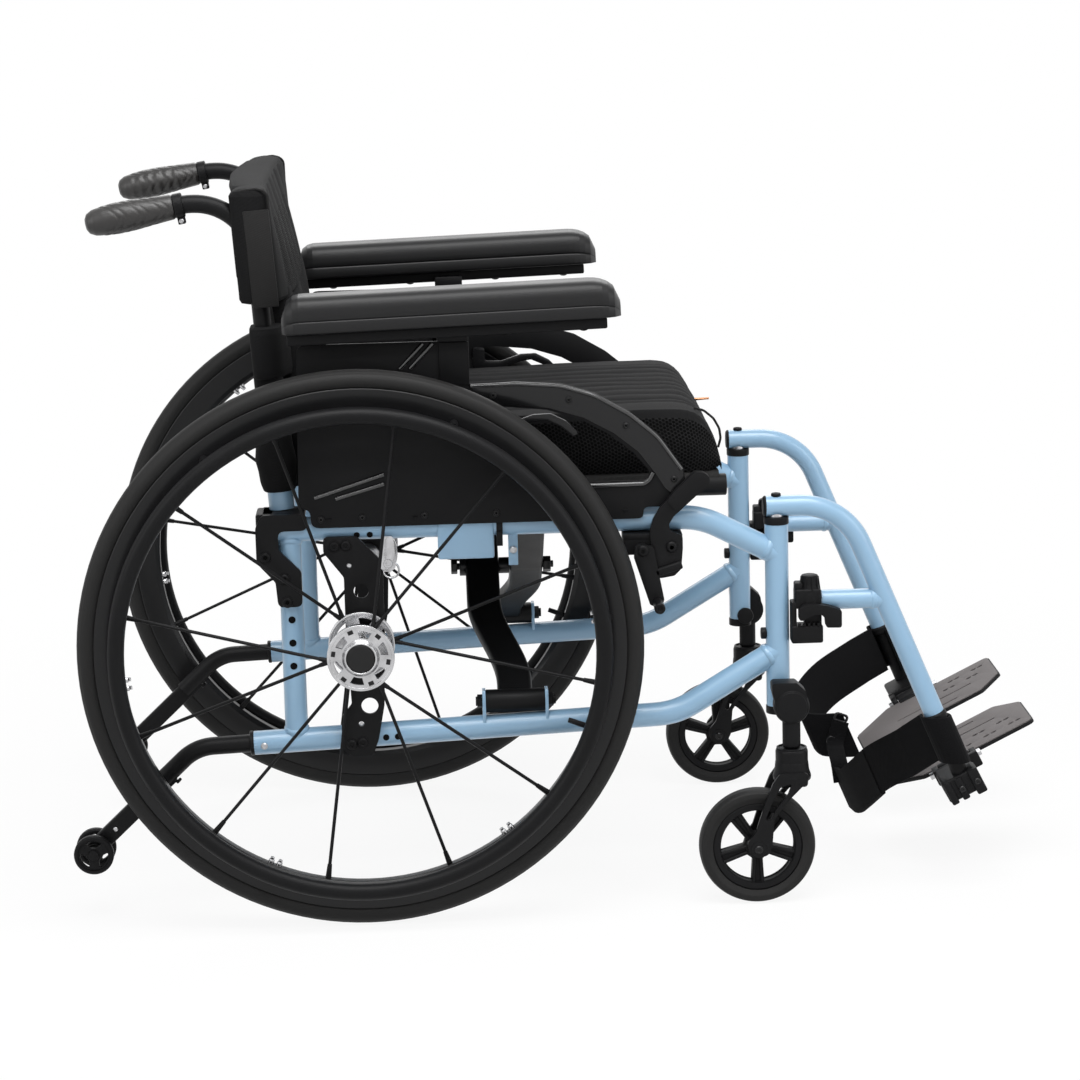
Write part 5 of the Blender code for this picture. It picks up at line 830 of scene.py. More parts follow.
# Footplates: a black composite base under a grey anti-slip skin, pierced by long grooves and by rows of
# paired slots, on a knuckle that turns on a steel pin.
bm = bmesh.new()
rod(bm, tread_stand @ Vector((-0.0308, hinge_y, 0)), tread_stand @ Vector((0.0308, hinge_y, 0)), 0.0039,
    sides=24, edge=0.0006)
pair("footplate_hinge_pin", bm, steel, "footplate_pin", ["footplate_pin"])
outer, inner = hinge_y + 0.01, hinge_y + 0.119
tread_edge = [(-0.036, outer), (0.098, outer), (0.098, outer + 0.08), (0.07, inner), (-0.082, inner),
              (-0.082, outer + 0.045)]
tread_cuts = []
for row, across in enumerate((0.02, 0.042)):
    for k in range(3):
        u, v = 0.012 + 0.03 * k - 0.01 * row, outer + across + 0.0022
        for middle in (u + 0.0026, u + 0.0112):
            tread_cuts.append([(middle + 0.0037 * cos(a), v + 0.0026 * sin(a))
                               for a in (2 * pi * j / 12 for j in range(12))])
for across, reach in ((0.066, 0.062), (0.092, 0.04)):
    v = outer + across + 0.0015
    tread_cuts.append([(reach + 0.0016 * cos(a), v + 0.0017 * sin(a))
                       for a in (radians(-90 + 30 * j) for j in range(7))]
                      + [(-0.03 + 0.0016 * cos(a), v + 0.0017 * sin(a))
                         for a in (radians(90 + 30 * j) for j in range(7))])
# Lays a plate on the tread's slope: its outline in X and Y, and its thickness along Z.
lying = tread_stand @ Matrix(((1, 0, 0, 0), (0, 0, 1, 0), (0, 1, 0, 0), (0, 0, 0, 1)))
composite = finish("black_composite", black, 60, 0.15, (0.48, 0.62), 1600, 0.0001, gleam=0.15)
bm = bmesh.new()
pressing(bm, [rounded_outline(tread_edge, 0.008)] + tread_cuts, -0.0025, 0.0012, 0.0006, stand=lying)
rod(bm, tread_stand @ Vector((-0.0188, hinge_y, 0)), tread_stand @ Vector((0.0188, hinge_y, 0)), 0.0078,
    sides=32, edge=0.0008)
block(bm, (-0.0184, hinge_y, -0.004), (0.0184, outer + 0.0085, 0.0034), 0.0012, 2, tread_stand)
pair("footplate_base", bm, composite, "footplate", ["footplate"])
grip_skin = finish("grey_anti_slip_skin", (0.13, 0.119, 0.118), 35, 0.07, (0.62, 0.78), 800, 0.00025,
                   gleam=0.35)
bm = bmesh.new()
middle_u = sum(u for u, v in tread_edge) / len(tread_edge)
middle_v = sum(v for u, v in tread_edge) / len(tread_edge)
skin_edge = [(middle_u + (u - middle_u) * 0.982, middle_v + (v - middle_v) * 0.978) for u, v in tread_edge]
pressing(bm, [rounded_outline(skin_edge, 0.007)] + tread_cuts, 0.0012, 0.0025, 0.0004, stand=lying)
pair("footplate_skin", bm, grip_skin, "footplate", ["footplate"])

# Wheel locks: a bracket clamped under the upper rail carries a long black lever with a moulded grip, and
# a shoe whose cross rod is pressed into the tyre.
lever_pin, shoe_pin, rod_place = (0.3274, 0.3878), (0.297, 0.3856), (0.3117, 0.3295)
bracket_outer = frame_y - rail_radius - 0.0058
lock_bolts = ((lever_pin, bracket_outer - 0.009), (shoe_pin, bracket_outer - 0.0143))
bm = bmesh.new()
block(bm, at(0.277, bracket_outer, 0.379), at(0.3395, frame_y + 0.012, upper_z - rail_radius - 0.0003),
      0.0022, 3)
block(bm, at(0.278, bracket_outer - 0.0002, 0.395), at(0.3385, bracket_outer + 0.004, 0.401), 0.001, 2)
for (x, z), low in lock_bolts:
    rod(bm, at(x, bracket_outer + 0.001, z), at(x, low, z), 0.0039)
    button_screw(bm, at(x, low + 0.003, z), (0, -1, 0), 0.0062, 0.003)
rod(bm, at(shoe_pin[0], bracket_outer + 0.001, shoe_pin[1]),
    at(shoe_pin[0], bracket_outer - 0.0055, shoe_pin[1]), 0.0064, sides=28)
pair("wheel_lock_clamp", bm, black_plastic, "frame", ["wheel_lock_bracket"])
# Painted shade: thin near-black discs on the two screw heads stand for their shaded sockets.
bm = bmesh.new()
for (x, z), low in lock_bolts:
    rod(bm, at(x, low, z), at(x, low + 0.0008, z), 0.0024, sides=6)
pair("wheel_lock_socket_shade", bm, painted_hole_shade, "frame", ["wheel_lock_bracket"])
lever_low, lever_high = bracket_outer - 0.006, bracket_outer - 0.0003
bm = bmesh.new()
lever_edge = rounded_outline([(0.362, 0.465), (0.3535, 0.466), (0.333, 0.447), (0.3165, 0.431),
                              (0.3085, 0.418), (0.305, 0.406), (0.3055, 0.3958), (0.3062, 0.392),
                              (0.3062, 0.3745), (0.3075, 0.364), (0.31, 0.356), (0.316, 0.3548),
                              (0.33, 0.357), (0.3372, 0.364), (0.3392, 0.386), (0.3392, 0.3995),
                              (0.3262, 0.405), (0.325, 0.412), (0.33, 0.42), (0.366, 0.452), (0.367, 0.461)],
                             0.0045)
pressing(bm, [lever_edge, circle(*lever_pin, 0.0045)], lever_low, lever_high, 0.0008)
pair("wheel_lock_lever_plate", bm, satin_black, "wheel_lock_lever", ["wheel_lock_lever"])
bm = bmesh.new()
grip_edge = rounded_outline([(0.3622, 0.4664), (0.3528, 0.4672), (0.333, 0.449), (0.3225, 0.4375),
                             (0.333, 0.426), (0.3672, 0.452), (0.3684, 0.4614)], 0.005)
pressing(bm, [grip_edge], lever_low - 0.003, lever_high + 0.003, 0.0022)
block(bm, (-0.015, -0.003, -0.0042), (0.015, 0.003, 0.0042), 0.002, 3,
      Matrix.Translation(at(0.3235, lever_low - 0.0025, 0.365)) @ Matrix.Rotation(radians(-17), 4, "Y"))
pair("wheel_lock_grip", bm, black_plastic, "wheel_lock_lever", ["wheel_lock_lever"])
shoe_low, shoe_high = lever_low - 0.0055, lever_low - 0.0003
bm = bmesh.new()
shoe_edge = rounded_outline([(0.289, 0.393), (0.2875, 0.378), (0.3035, 0.3275), (0.3155, 0.3235),
                             (0.3185, 0.333), (0.308, 0.39)], 0.004)
pressing(bm, [shoe_edge, circle(*shoe_pin, 0.0045)], shoe_low, shoe_high, 0.0007)
turned(bm, [(0, -0.001), (0.0056, -0.001), (0.0056, 0.026), (0.0058, 0.0262), (0.0058, 0.034),
            (0.0048, 0.0348), (0.0028, 0.0345), (0.0026, 0.0325), (0, 0.0325)], 0.0006,
       at(rod_place[0], shoe_high, rod_place[1]), (0, -1, 0), 28)
pair("wheel_lock_shoe_plate", bm, satin_black, "wheel_lock_shoe", ["wheel_lock_shoe"])

# Back brackets: black hook plates round the frame's rear corners, bolted through the upright, with the
# step that carries the back cane.
hook_outer = plate_inner - 0.006
hook_screws = ((-0.0975, 0.3889), (-0.0786, 0.3652), (-0.0764, 0.3404))
rail_top = upper_z + rail_radius + 0.0003
lean_angle, cane_y, cane_foot_z, cane_radius, cane_join_z = radians(3.7), -0.2, 0.435, 0.0135, 0.612
cane_low = cane_foot_z - cane_radius * sin(lean_angle) - 0.0003
bm = bmesh.new()
hook_edge = rounded_outline([(-0.1, 0.4335), (-0.107, 0.42), (-0.107, 0.383), (-0.088, 0.3618),
                             (-0.086, 0.335), (-0.0605, 0.335), (-0.0605, 0.372), (-0.0836, 0.396),
                             (-0.0836, 0.416), (-0.053, 0.416), (-0.053, 0.4335)], 0.007)
pressing(bm, [hook_edge], hook_outer, plate_inner, 0.001)
block(bm, at(-0.1, plate_inner - 0.001, rail_top), at(-0.055, cane_y + 0.015, cane_low), 0.0012, 2)
block(bm, at(-0.1065, plate_inner - 0.001, 0.385), at(-0.0866, cane_y + 0.013, cane_low), 0.0025, 2)
for x, z in hook_screws:
    button_screw(bm, at(x, hook_outer, z), (0, -1, 0), 0.006, 0.003)
pair("back_hook", bm, satin_black, "frame", ["back_bracket"])
# Painted shade: thin near-black discs on the three screw heads stand for their shaded sockets.
bm = bmesh.new()
for x, z in hook_screws:
    rod(bm, at(x, hook_outer - 0.0006, z), at(x, hook_outer - 0.0013, z), 0.0023, sides=6)
pair("back_hook_socket_shade", bm, painted_hole_shade, "frame", ["back_bracket"])

# Back canes and push handles: blue tube below, and above it a thinner black tube that turns back into
# the handle. The grips are soft rubber with a moulded leaf relief, held by a screwed collar.
lean = Vector((-sin(lean_angle), 0, cos(lean_angle)))
cane_foot = at(-0.0795, cane_y, cane_foot_z)


def cane_point(z):
    """Where the cane's middle line is at this height."""
    return cane_foot + lean * ((z - cane_foot_z) / lean.z)


bm = bmesh.new()
rod(bm, cane_foot, cane_point(cane_join_z), cane_radius, sides=36)
pair("back_cane_tube", bm, blue_coat, "frame", ["back_cane"])
grip_slope = radians(10)
back_along = Vector((-cos(grip_slope), 0, -sin(grip_slope)))
grip_start = at(-0.166, cane_y, 0.757)
bm = bmesh.new()
bent_tube(bm, [cane_point(cane_join_z) + lean * 0.0003, cane_point(0.757), grip_start,
               grip_start + back_along * 0.085], 0.0095, 0.062, 24)
pair("push_handle_tube", bm, satin_black, "frame", ["push_handle"])
grip_rubber = finish("grip_rubber", (0.018, 0.0168, 0.0162), 50, 0.14, (0.3, 0.44), 1100, 0.00006)
grip_place = grip_start + back_along * 0.003
grip_turn = aimed(grip_place, back_along)
grip_side = [(0.0098, 0.01), (0.012, 0.01), (0.0131, 0.012), (0.0137, 0.022), (0.0146, 0.034),
             (0.0156, 0.046), (0.0163, 0.058), (0.0163, 0.07), (0.0154, 0.083), (0.0134, 0.094),
             (0.0102, 0.1), (0.006, 0.1024), (0, 0.103)]
fine_side = []
for (r, h), (r_next, h_next) in zip(grip_side, grip_side[1:]):
    parts = max(1, round(hypot(r_next - r, h_next - h) / 0.0016))
    fine_side += [(r + (r_next - r) * k / parts, h + (h_next - h) * k / parts) for k in range(parts)]
fine_side.append((0, 0.103))
bm = bmesh.new()
lathe(bm, fine_side + [(0, 0.0862), (0.0098, 0.0862)], Vector(), (0, 0, 1), 84)
bmesh.ops.remove_doubles(bm, verts=bm.verts, dist=1e-6)
for v in bm.verts:
    radius, around = hypot(v.co.x, v.co.y), atan2(v.co.y, v.co.x)
    if radius < 0.0105 or v.co.z < 0.0125 or v.co.z > 0.1005:
        continue
    groove = 0
    for start in (0.018, 0.04, 0.062):
        for hand in (-1, 1):
            curve = start + 0.024 * (1 - abs(abs(around) - pi / 2) / (pi / 2)) ** 1.3 + 0.004 * hand
            groove = max(groove, 1 - abs(v.co.z - curve) / 0.0016)
    groove = max(groove, 1 - abs(abs(around) - pi / 2) / 0.09 if 0.03 < v.co.z < 0.088 else 0)
    finger = 0.00045 * sin(2 * pi * v.co.z / 0.0105) if abs(around) > 2.3 and 0.03 < v.co.z < 0.09 else 0
    v.co.xy *= 1 - (0.0007 * max(0, groove) ** 0.7 - finger) / radius
bmesh.ops.transform(bm, matrix=grip_turn, verts=bm.verts)
pair("push_grip_sleeve", bm, grip_rubber, "frame", ["push_grip"], sharp=60)
bm = bmesh.new()
turned(bm, [(0.0098, 0), (0.0124, 0), (0.0129, 0.0008), (0.0129, 0.0086), (0.0124, 0.0094), (0.0098, 0.0094)],
       0.0006, grip_place, back_along, 48)
block(bm, (-0.0045, -0.0193, 0.0008), (0.0045, -0.0112, 0.0086), 0.001, 2, grip_turn)
pair("push_grip_collar", bm, satin_black, "frame", ["push_grip"])
bm = bmesh.new()
for face in (-1, 1):
    button_screw(bm, grip_turn @ Vector((face * 0.0043, -0.0158, 0.0047)),
                 grip_turn.to_3x3() @ Vector((face, 0, 0)), 0.0028, 0.0014)
pair("push_grip_screw", bm, steel, "frame", ["push_grip"])

# Side guards: thin moulded panels with a wide curved band along the front, an open window behind it and
# stiffening ribs. Button rivets hold the band, and a channel inside takes the armrest's post.
guard_low, guard_high = -0.2325, -0.2295
guard_edge = rounded_outline([(-0.0487, 0.418), (-0.049, 0.437), (-0.061, 0.44), (-0.057, 0.611),
                              (0.118, 0.611), (0.118, 0.5635), (0.168, 0.5665), (0.2157, 0.563),
                              (0.2508, 0.552), (0.2868, 0.5308), (0.3166, 0.5062), (0.342, 0.47),
                              (0.344, 0.45), (0.324, 0.43), (0.299, 0.43), (0.299, 0.418)], 0.01)
guard_window = rounded_outline([(0.129, 0.527), (0.192, 0.479), (0.214, 0.456), (0.3, 0.456), (0.308, 0.466),
                                (0.29, 0.488), (0.265, 0.508), (0.235, 0.525), (0.2, 0.536), (0.16, 0.54),
                                (0.129, 0.54)], 0.008)
bm = bmesh.new()
pressing(bm, [guard_edge, guard_window], guard_low, guard_high, 0.0006)
for left, right in ((0.0835, 0.0895), (0.1205, 0.1265)):
    block(bm, at(left, guard_high - 0.001, 0.445), at(right, -0.2152, 0.556), 0.0008, 2)
block(bm, at(0.0835, -0.2182, 0.445), at(0.1265, -0.2152, 0.556), 0.0008, 2)
block(bm, at(0.09, guard_low - 0.0022, 0.565), at(0.121, guard_low + 0.001, 0.61), 0.0008, 2)
for x in (-0.03, 0.06, 0.2, 0.28):
    rod(bm, at(x, guard_high - 0.001, 0.429), at(x, -0.228, 0.423), 0.004, sides=20)
pair("side_guard_panel", bm, black_plastic, "frame", ["side_guard"])
gloss_plastic = finish("smooth_black_plastic", black, 30, 0.12, (0.2, 0.3), 900, 0.00002, gleam=0.2,
                       lacquer=(0.25, 0.12))
bm = bmesh.new()
band_edge = [(0.12, 0.5645), (0.168, 0.5655), (0.2157, 0.5618), (0.2508, 0.5508), (0.2868, 0.5298),
             (0.316, 0.5052), (0.3408, 0.4695), (0.3428, 0.4505), (0.334, 0.44), (0.322, 0.45),
             (0.312, 0.466), (0.295, 0.489), (0.269, 0.51), (0.238, 0.527), (0.202, 0.5382), (0.16, 0.5425),
             (0.12, 0.5425)]
pressing(bm, [rounded_outline(band_edge, 0.012)], guard_low - 0.002, guard_low + 0.0005, 0.0014)
pair("side_guard_band", bm, gloss_plastic, "frame", ["side_guard"])
bm = bmesh.new()
for (x, z), (x_end, z_end) in (((-0.044, 0.45), (0.029, 0.473)), ((-0.022, 0.4485), (0.029, 0.463)),
                               ((0.0495, 0.583), (0.074, 0.609)), ((0.06, 0.583), (0.084, 0.609))):
    rod(bm, at(x, guard_low, z), at(x_end, guard_low, z_end), 0.0025, sides=16)
rim_line = [(0.214, 0.4545), (0.27, 0.4545), (0.3, 0.4548), (0.306, 0.459), (0.31, 0.4665)]
for (x, z), (x_end, z_end) in zip(rim_line, rim_line[1:]):
    rod(bm, at(x, guard_low, z), at(x_end, guard_low, z_end), 0.0028, sides=14)
block(bm, at(0.215, -0.2312, 0.453), at(0.301, -0.222, 0.4565), 0.0008, 2)
bead_line = ((0.122, 0.5632), (0.169, 0.5643), (0.215, 0.5606), (0.25, 0.5496), (0.2858, 0.5288),
             (0.3148, 0.5043), (0.3394, 0.469))
bent_tube(bm, [at(x, guard_low - 0.0016, z) for x, z in bead_line], 0.0022, 0.06, 14)
shiny_edge = finish("polished_plastic_edge", black, 30, 0.12, (0.12, 0.22), 900, 0.00002, gleam=0.9)
pair("side_guard_ribs", bm, shiny_edge, "frame", ["side_guard"])
rivets = [(x, guard_low - 0.002, z)
          for x, z in ((0.2234, 0.546), (0.2824, 0.517), (0.3314, 0.459), (0.145, 0.553))]
rivets += [(x, guard_low, z) for x, z in ((-0.038, 0.427), (0.005, 0.428), (0.07, 0.4285), (0.145, 0.4285),
                                          (0.205, 0.4285), (0.13, 0.503))]
bm = bmesh.new()
for place in rivets:
    button_screw(bm, at(*place), (0, -1, 0), 0.0036, 0.002)
pair("side_guard_rivets", bm, gloss_black, "frame", ["side_guard"])
# Painted shade: thin near-black discs on the rivet heads stand for their shaded sockets.
bm = bmesh.new()
for x, y, z in rivets:
    rod(bm, at(x, y - 0.0004, z), at(x, y - 0.0009, z), 0.0013, sides=6)
pair("side_guard_rivet_socket_shade", bm, painted_hole_shade, "frame", ["side_guard"])

# Armrest release levers: arched strips of glossy plastic, screwed to a bracket inside each guard and seen
# through its window.
bm = bmesh.new()
strip_edge = rounded_outline([(0.131, 0.516), (0.15, 0.513), (0.166, 0.5155), (0.1865, 0.5222),
                              (0.1991, 0.524), (0.2147, 0.517), (0.2275, 0.5065), (0.233, 0.5098),
                              (0.2201, 0.5231), (0.2046, 0.5312), (0.1867, 0.5307), (0.164, 0.5235),
                              (0.145, 0.524), (0.145, 0.54), (0.131, 0.54)], 0.004)
pressing(bm, [strip_edge], -0.2289, -0.2245, 0.001)
for z in (0.5205, 0.5345):
    button_screw(bm, at(0.1375, -0.2289, z), (0, -1, 0), 0.003, 0.0016)
pair("armrest_release_lever", bm, gloss_plastic, "frame")

# Armrests: a flat black post that slides in the guard, a rail under the pad and the screws that hold the
# pad to it. The pad is moulded soft foam with its own smooth skin and a pinched seam round its base.
bm = bmesh.new()
pad_rear, pad_length, pad_y, pad_base, pad_slope = -0.07, 0.3485, -0.245, 0.6255, radians(-1.6)
pad_corner = at(pad_rear, 0, pad_base)
pad_tilt = Matrix.Rotation(pad_slope, 4, "Y")
pad_turn = Matrix.Translation(pad_corner) @ pad_tilt @ Matrix.Translation(-pad_corner)
block(bm, at(-0.0655, -0.2598, 0.6134), at(0.264, -0.2302, 0.625), 0.0018, 2, pad_turn)
block(bm, at(0.0902, -0.227, 0.456), at(0.1198, -0.2192, 0.625), 0.0012, 2)
block(bm, at(0.0892, -0.2508, 0.6126), at(0.1208, -0.219, 0.625), 0.0012, 2)
for x in (-0.03, 0.06, 0.16, 0.24):
    turned(bm, [(0, 0), (0.0042, 0), (0.004, 0.0022), (0.0016, 0.003), (0, 0.003)], 0.0008,
           pad_turn @ at(x, pad_y, 0.6136), (0, 0, -1), 20)
pair("armrest_post_and_rail", bm, black_plastic, "armrest", ["armrest_post"])
pad_skin = finish("moulded_foam_skin", (0.009, 0.009, 0.0095), 22, 0.14, (0.33, 0.46), 600, 0.0002,
                  gleam=0.18, lacquer=(0.15, 0.35))
crest = [(0.0278 * abs(cos(t)) ** 0.62 * (1 if t < pi / 2 else -1), 0.0158 + 0.0234 * sin(t) ** 0.62)
         for t in (pi * (k + 0.5) / 30 for k in range(30))]
lip = [(0.0262, 0.0002), (0.0274, 0.001), (0.028, 0.003), (0.028, 0.012), (0.0276, 0.013), (0.0267, 0.0136),
       (0.0274, 0.0144), (0.0278, 0.0154)]
section = lip + crest + [(-x, z) for x, z in reversed(lip)]
stands = []
for k in range(57):
    x = pad_rear + pad_length * k / 56
    from_end = min(1, (x - pad_rear) / 0.022, (pad_rear + pad_length - x) / 0.034)
    full = (1 - (1 - from_end) ** 2.4) ** 0.5
    wide, tall = 0.45 + 0.55 * full, 0.4 + 0.6 * full
    stands.append(Matrix.Translation(pad_turn @ at(x, pad_y, pad_base)) @ pad_tilt
                  @ Matrix(((0, 0, 1, 0), (1, 0, 0, 0), (0, 1, 0, 0), (0, 0, 0, 1)))
                  @ Matrix.Diagonal((wide, tall, 1, 1)))
bm = bmesh.new()
swept(bm, section, stands)
for pad in pair("armrest_foam_pad", bm, pad_skin, "armrest", ["armrest_pad"], sharp=60):
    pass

# Anti-tip bars: bent black tube plugged into each lower rail's end with a collar, then a flat bar with a
# row of holes, and a pair of small wheels on a pin.
rail_back = Vector((-cos(rail_slope), 0, -sin(rail_slope)))
tip_angle = radians(43)
tip_corner = rail_rear + rail_back * ((rail_rear_x + 0.18) / cos(rail_slope))
tip_down = Vector((-cos(tip_angle), 0, -sin(tip_angle)))
roller_x, roller_z, roller_step = -0.2922, 0.0722, 0.014
tip_axle = at(roller_x, frame_y, roller_z)
tip_foot = tip_corner + tip_down * 0.06
bm = bmesh.new()
bent_tube(bm, [rail_rear + rail_back * 0.0003, tip_corner, tip_foot], 0.0095, 0.05)
turned(bm, [(0.0085, 0.0003), (0.0125, 0.0003), (0.0133, 0.001), (0.0133, 0.0036), (0.0122, 0.0042),
            (0.0085, 0.0042)], 0.0005, rail_rear, rail_back, 40)
middle = (tip_foot + tip_axle) / 2 + tip_down * -0.006
half = (tip_foot - tip_axle).length / 2 + 0.015
block(bm, (-half, -0.005, -0.0095), (half, 0.005, 0.0095), 0.0022, 3,
      Matrix.Translation(middle) @ Matrix.Rotation(-tip_angle, 4, "Y"))
turned(bm, [(0.0033, -0.008), (0.009, -0.008), (0.0095, -0.0072), (0.0095, 0.0072), (0.009, 0.008),
            (0.0033, 0.008)], 0.0006, tip_axle, (0, 1, 0), 32)
button = tip_corner + tip_down * 0.04
rod(bm, button + Vector((0.0085, -0.001, -0.0075)), button + Vector((0.0105, -0.001, -0.0095)), 0.0035,
    sides=16, edge=0.0006)
pair("anti_tip_tube", bm, satin_black, "anti_tip", ["anti_tip_bar"])
bm = bmesh.new()
button_screw(bm, at(-0.269, frame_y - 0.005, 0.0966), (0, -1, 0), 0.0026, 0.0014)
button_screw(bm, tip_foot + Vector((0.004, -0.005, 0.004)), (0, -1, 0), 0.003, 0.0014)
pair("anti_tip_screws", bm, steel, "anti_tip")
bm = bmesh.new()
windows = [rounded_outline(window(roller_x, roller_z, radians(90 + 120 * k), (0.015, 38, 7), (0.0085, 24, 2)),
                           0.0012) for k in range(3)]
disc = [circle(roller_x, roller_z, 0.018, 48)] + windows + [circle(roller_x, roller_z, 0.003, 16)]
for face in (-1, 1):
    low = frame_y + face * roller_step - 0.003
    pressing(bm, disc, low, low + 0.006, 0.0006)
    turned(bm, [(0.0172, -0.0045), (0.0195, -0.0045), (0.0212, -0.003), (0.0212, 0.003), (0.0195, 0.0045),
                (0.0172, 0.0045)], 0.0012, tip_axle + Vector((0, face * roller_step, 0)), (0, 1, 0), 56)
rod(bm, tip_axle + Vector((0, -0.019, 0)), tip_axle + Vector((0, 0.019, 0)), 0.003, sides=16)
rod(bm, tip_axle + Vector((0, -0.02, 0)), tip_axle + Vector((0, -0.017, 0)), 0.0055, sides=24, edge=0.0008)
pair("anti_tip_wheel_discs", bm, black_plastic, "anti_tip_roller", ["anti_tip_wheels"])

# Seat sling: black coated nylon stretched between the seat rails, hemmed over them and screwed down. It
# sags a little under the cushion, and its front edge shows below it.
cloth_black = (0.0052, 0.0052, 0.0055)


def weave(made, shader, colour, pitch, depth, roughness, gap=0.55):
    """A cloth of two crossed yarns with this pitch, its gaps painted with shade, on every side of a piece."""
    where = node(made, "TexCoord").outputs["Object"]
    crossed = []
    for direction in ((1.0, 1.0, 0.5), (0.8, -0.8, 1.0)):
        along = node(made, "VectorMath", {0: where, 1: direction}, operation="DOT_PRODUCT").outputs["Value"]
        turn = node(made, "Math", {0: along, 1: 2 * pi / pitch}, operation="MULTIPLY").outputs[0]
        crossed.append(node(made, "Math", {0: turn}, operation="SINE").outputs[0])
    yarn = node(made, "Math", {0: crossed[0], 1: crossed[1]}, operation="MULTIPLY").outputs[0]
    yarn = node(made, "MapRange", {0: yarn, 1: -1.0, 2: 1.0}).outputs[0]
    blotch = node(made, "TexNoise", {"Vector": where, "Scale": 30.0, "Detail": 4.0}).outputs["Fac"]
    # Painted shade: the gaps between the yarns take a darker colour than the yarn tops, and gap is how light
    # they stay.
    level = node(made, "Math", {0: yarn, 1: 1 - gap, 2: gap}, operation="MULTIPLY_ADD").outputs[0]
    worn = node(made, "MapRange", {0: blotch, 3: 0.8, 4: 1.2}).outputs[0]
    level = node(made, "Math", {0: level, 1: worn}, operation="MULTIPLY").outputs[0]
    tint = node(made, "MixRGB", {0: level, 1: (*[c * 0.25 for c in colour], 1),
                                 2: (*[c * 1.5 for c in colour], 1)})
    made.node_tree.links.new(tint.outputs[0], shader.inputs["Base Color"])
    rough = node(made, "MapRange", {0: blotch, 3: roughness - 0.06, 4: roughness + 0.06})
    made.node_tree.links.new(rough.outputs[0], shader.inputs["Roughness"])
    bump = node(made, "Bump", {"Height": yarn, "Strength": 0.6, "Distance": depth})
    crease = node(made, "Bump", {"Height": blotch, "Strength": 0.25, "Distance": 0.0008,
                                 "Normal": bump.outputs["Normal"]})
    made.node_tree.links.new(crease.outputs["Normal"], shader.inputs["Normal"])
    shader.inputs["Sheen Weight"].default_value = 0.015
    shader.inputs["Sheen Roughness"].default_value = 0.5


def spacer(made, shader, colour, pitch):
    """Spacer mesh: a net of round holes, pitch apart, their shade painted dark, wherever a side faces."""
    where = node(made, "SeparateXYZ", {0: node(made, "TexCoord").outputs["Object"]}).outputs
    across = node(made, "Math", {0: where["X"], 1: where["Y"]}, operation="ADD").outputs[0]
    waves = []
    for lean in (0, 60, 120):
        a = node(made, "Math", {0: across, 1: 2 * pi / pitch * cos(radians(lean))},
                 operation="MULTIPLY").outputs[0]
        b = node(made, "Math", {0: where["Z"], 1: 2 * pi / pitch * sin(radians(lean)), 2: a},
                 operation="MULTIPLY_ADD").outputs[0]
        waves.append(node(made, "Math", {0: b}, operation="COSINE").outputs[0])
    total = node(made, "Math", {0: waves[0], 1: waves[1]}, operation="ADD").outputs[0]
    total = node(made, "Math", {0: total, 1: waves[2]}, operation="ADD").outputs[0]
    net = node(made, "MapRange", {0: total, 1: 0.2, 2: -0.9}).outputs[0]
    # Painted shade: the holes get a far darker colour than the strands of the net round them.
    tint = node(made, "MixRGB", {0: net, 1: (*[c * 0.12 for c in colour], 1),
                                 2: (*[c * 1.5 for c in colour], 1)})
    made.node_tree.links.new(tint.outputs[0], shader.inputs["Base Color"])
    bump = node(made, "Bump", {"Height": net, "Strength": 1.0, "Distance": 0.0012})
    made.node_tree.links.new(bump.outputs["Normal"], shader.inputs["Normal"])
    rough = node(made, "MapRange", {0: net, 3: 0.9, 4: 0.6})
    made.node_tree.links.new(rough.outputs[0], shader.inputs["Roughness"])


nylon_black = (0.0105, 0.0103, 0.0103)
nylon, shader = material("coated_nylon", nylon_black, 0.7, gleam=0.14)
weave(nylon, shader, nylon_black, 0.0012, 0.0001, 0.66)


def skinned(bm, rings):
    """A closed skin through rings of one count, each extruded from the last."""
    face = bm.faces.new([bm.verts.new(place) for place in rings[0]])
    for ring in rings[1:]:
        face = faces_in(bmesh.ops.extrude_face_region(bm, geom=[face])["geom"])[0]
        for corner, place in zip(face.verts, ring):
            corner.co = place


sling_z, free = seat_rail_z + seat_rail_radius + 0.0003, 0.182
rows = [(-0.1975, sling_z - 0.006), (-0.1965, sling_z - 0.001), (-0.193, sling_z)]
rows += [(free * (-1 + k / 12), sling_z - 0.006 * (1 - (-1 + k / 12) ** 2)) for k in range(25)]
rows += [(0.193, sling_z), (0.1965, sling_z - 0.001), (0.1975, sling_z - 0.006)]
ring = rows + [(a, z + (0.0028 if abs(a) < 0.195 else 0.0012)) for a, z in reversed(rows)]
rings = []
for k in range(25):
    x = -0.05 + 0.432 * k / 24
    hem = 0.0006 if x < -0.035 or x > 0.368 else 0
    rings.append([at(x, a, z + (hem if j >= len(rows) else 0)) for j, (a, z) in enumerate(ring)])
bm = bmesh.new()
skinned(bm, rings)
sling = finished("seat_sling_cloth", bm, nylon, None, ["seat_sling"], sharp=50)
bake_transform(sling)

# Seat cushion: foam in a stretch cover. The top is quilted into channels that run fore and aft and turn
# down over the front, the sides are spacer mesh, and piping joins the two.
knit, shader = material("stretch_knit", cloth_black, 0.85, gleam=0.1)
weave(knit, shader, cloth_black, 0.0016, 0.00014, 0.82, 0.6)
net_black = (0.008, 0.008, 0.0083)
mesh_cloth, shader = material("spacer_mesh", net_black, 0.8, gleam=0.08)
spacer(mesh_cloth, shader, net_black, 0.0034)
base_z, seat_rear, front_curve, seat_front = 0.4591, -0.049, 0.3205, 0.386
channel, channelled, seat_half = 0.033, 0.1325, 0.1975


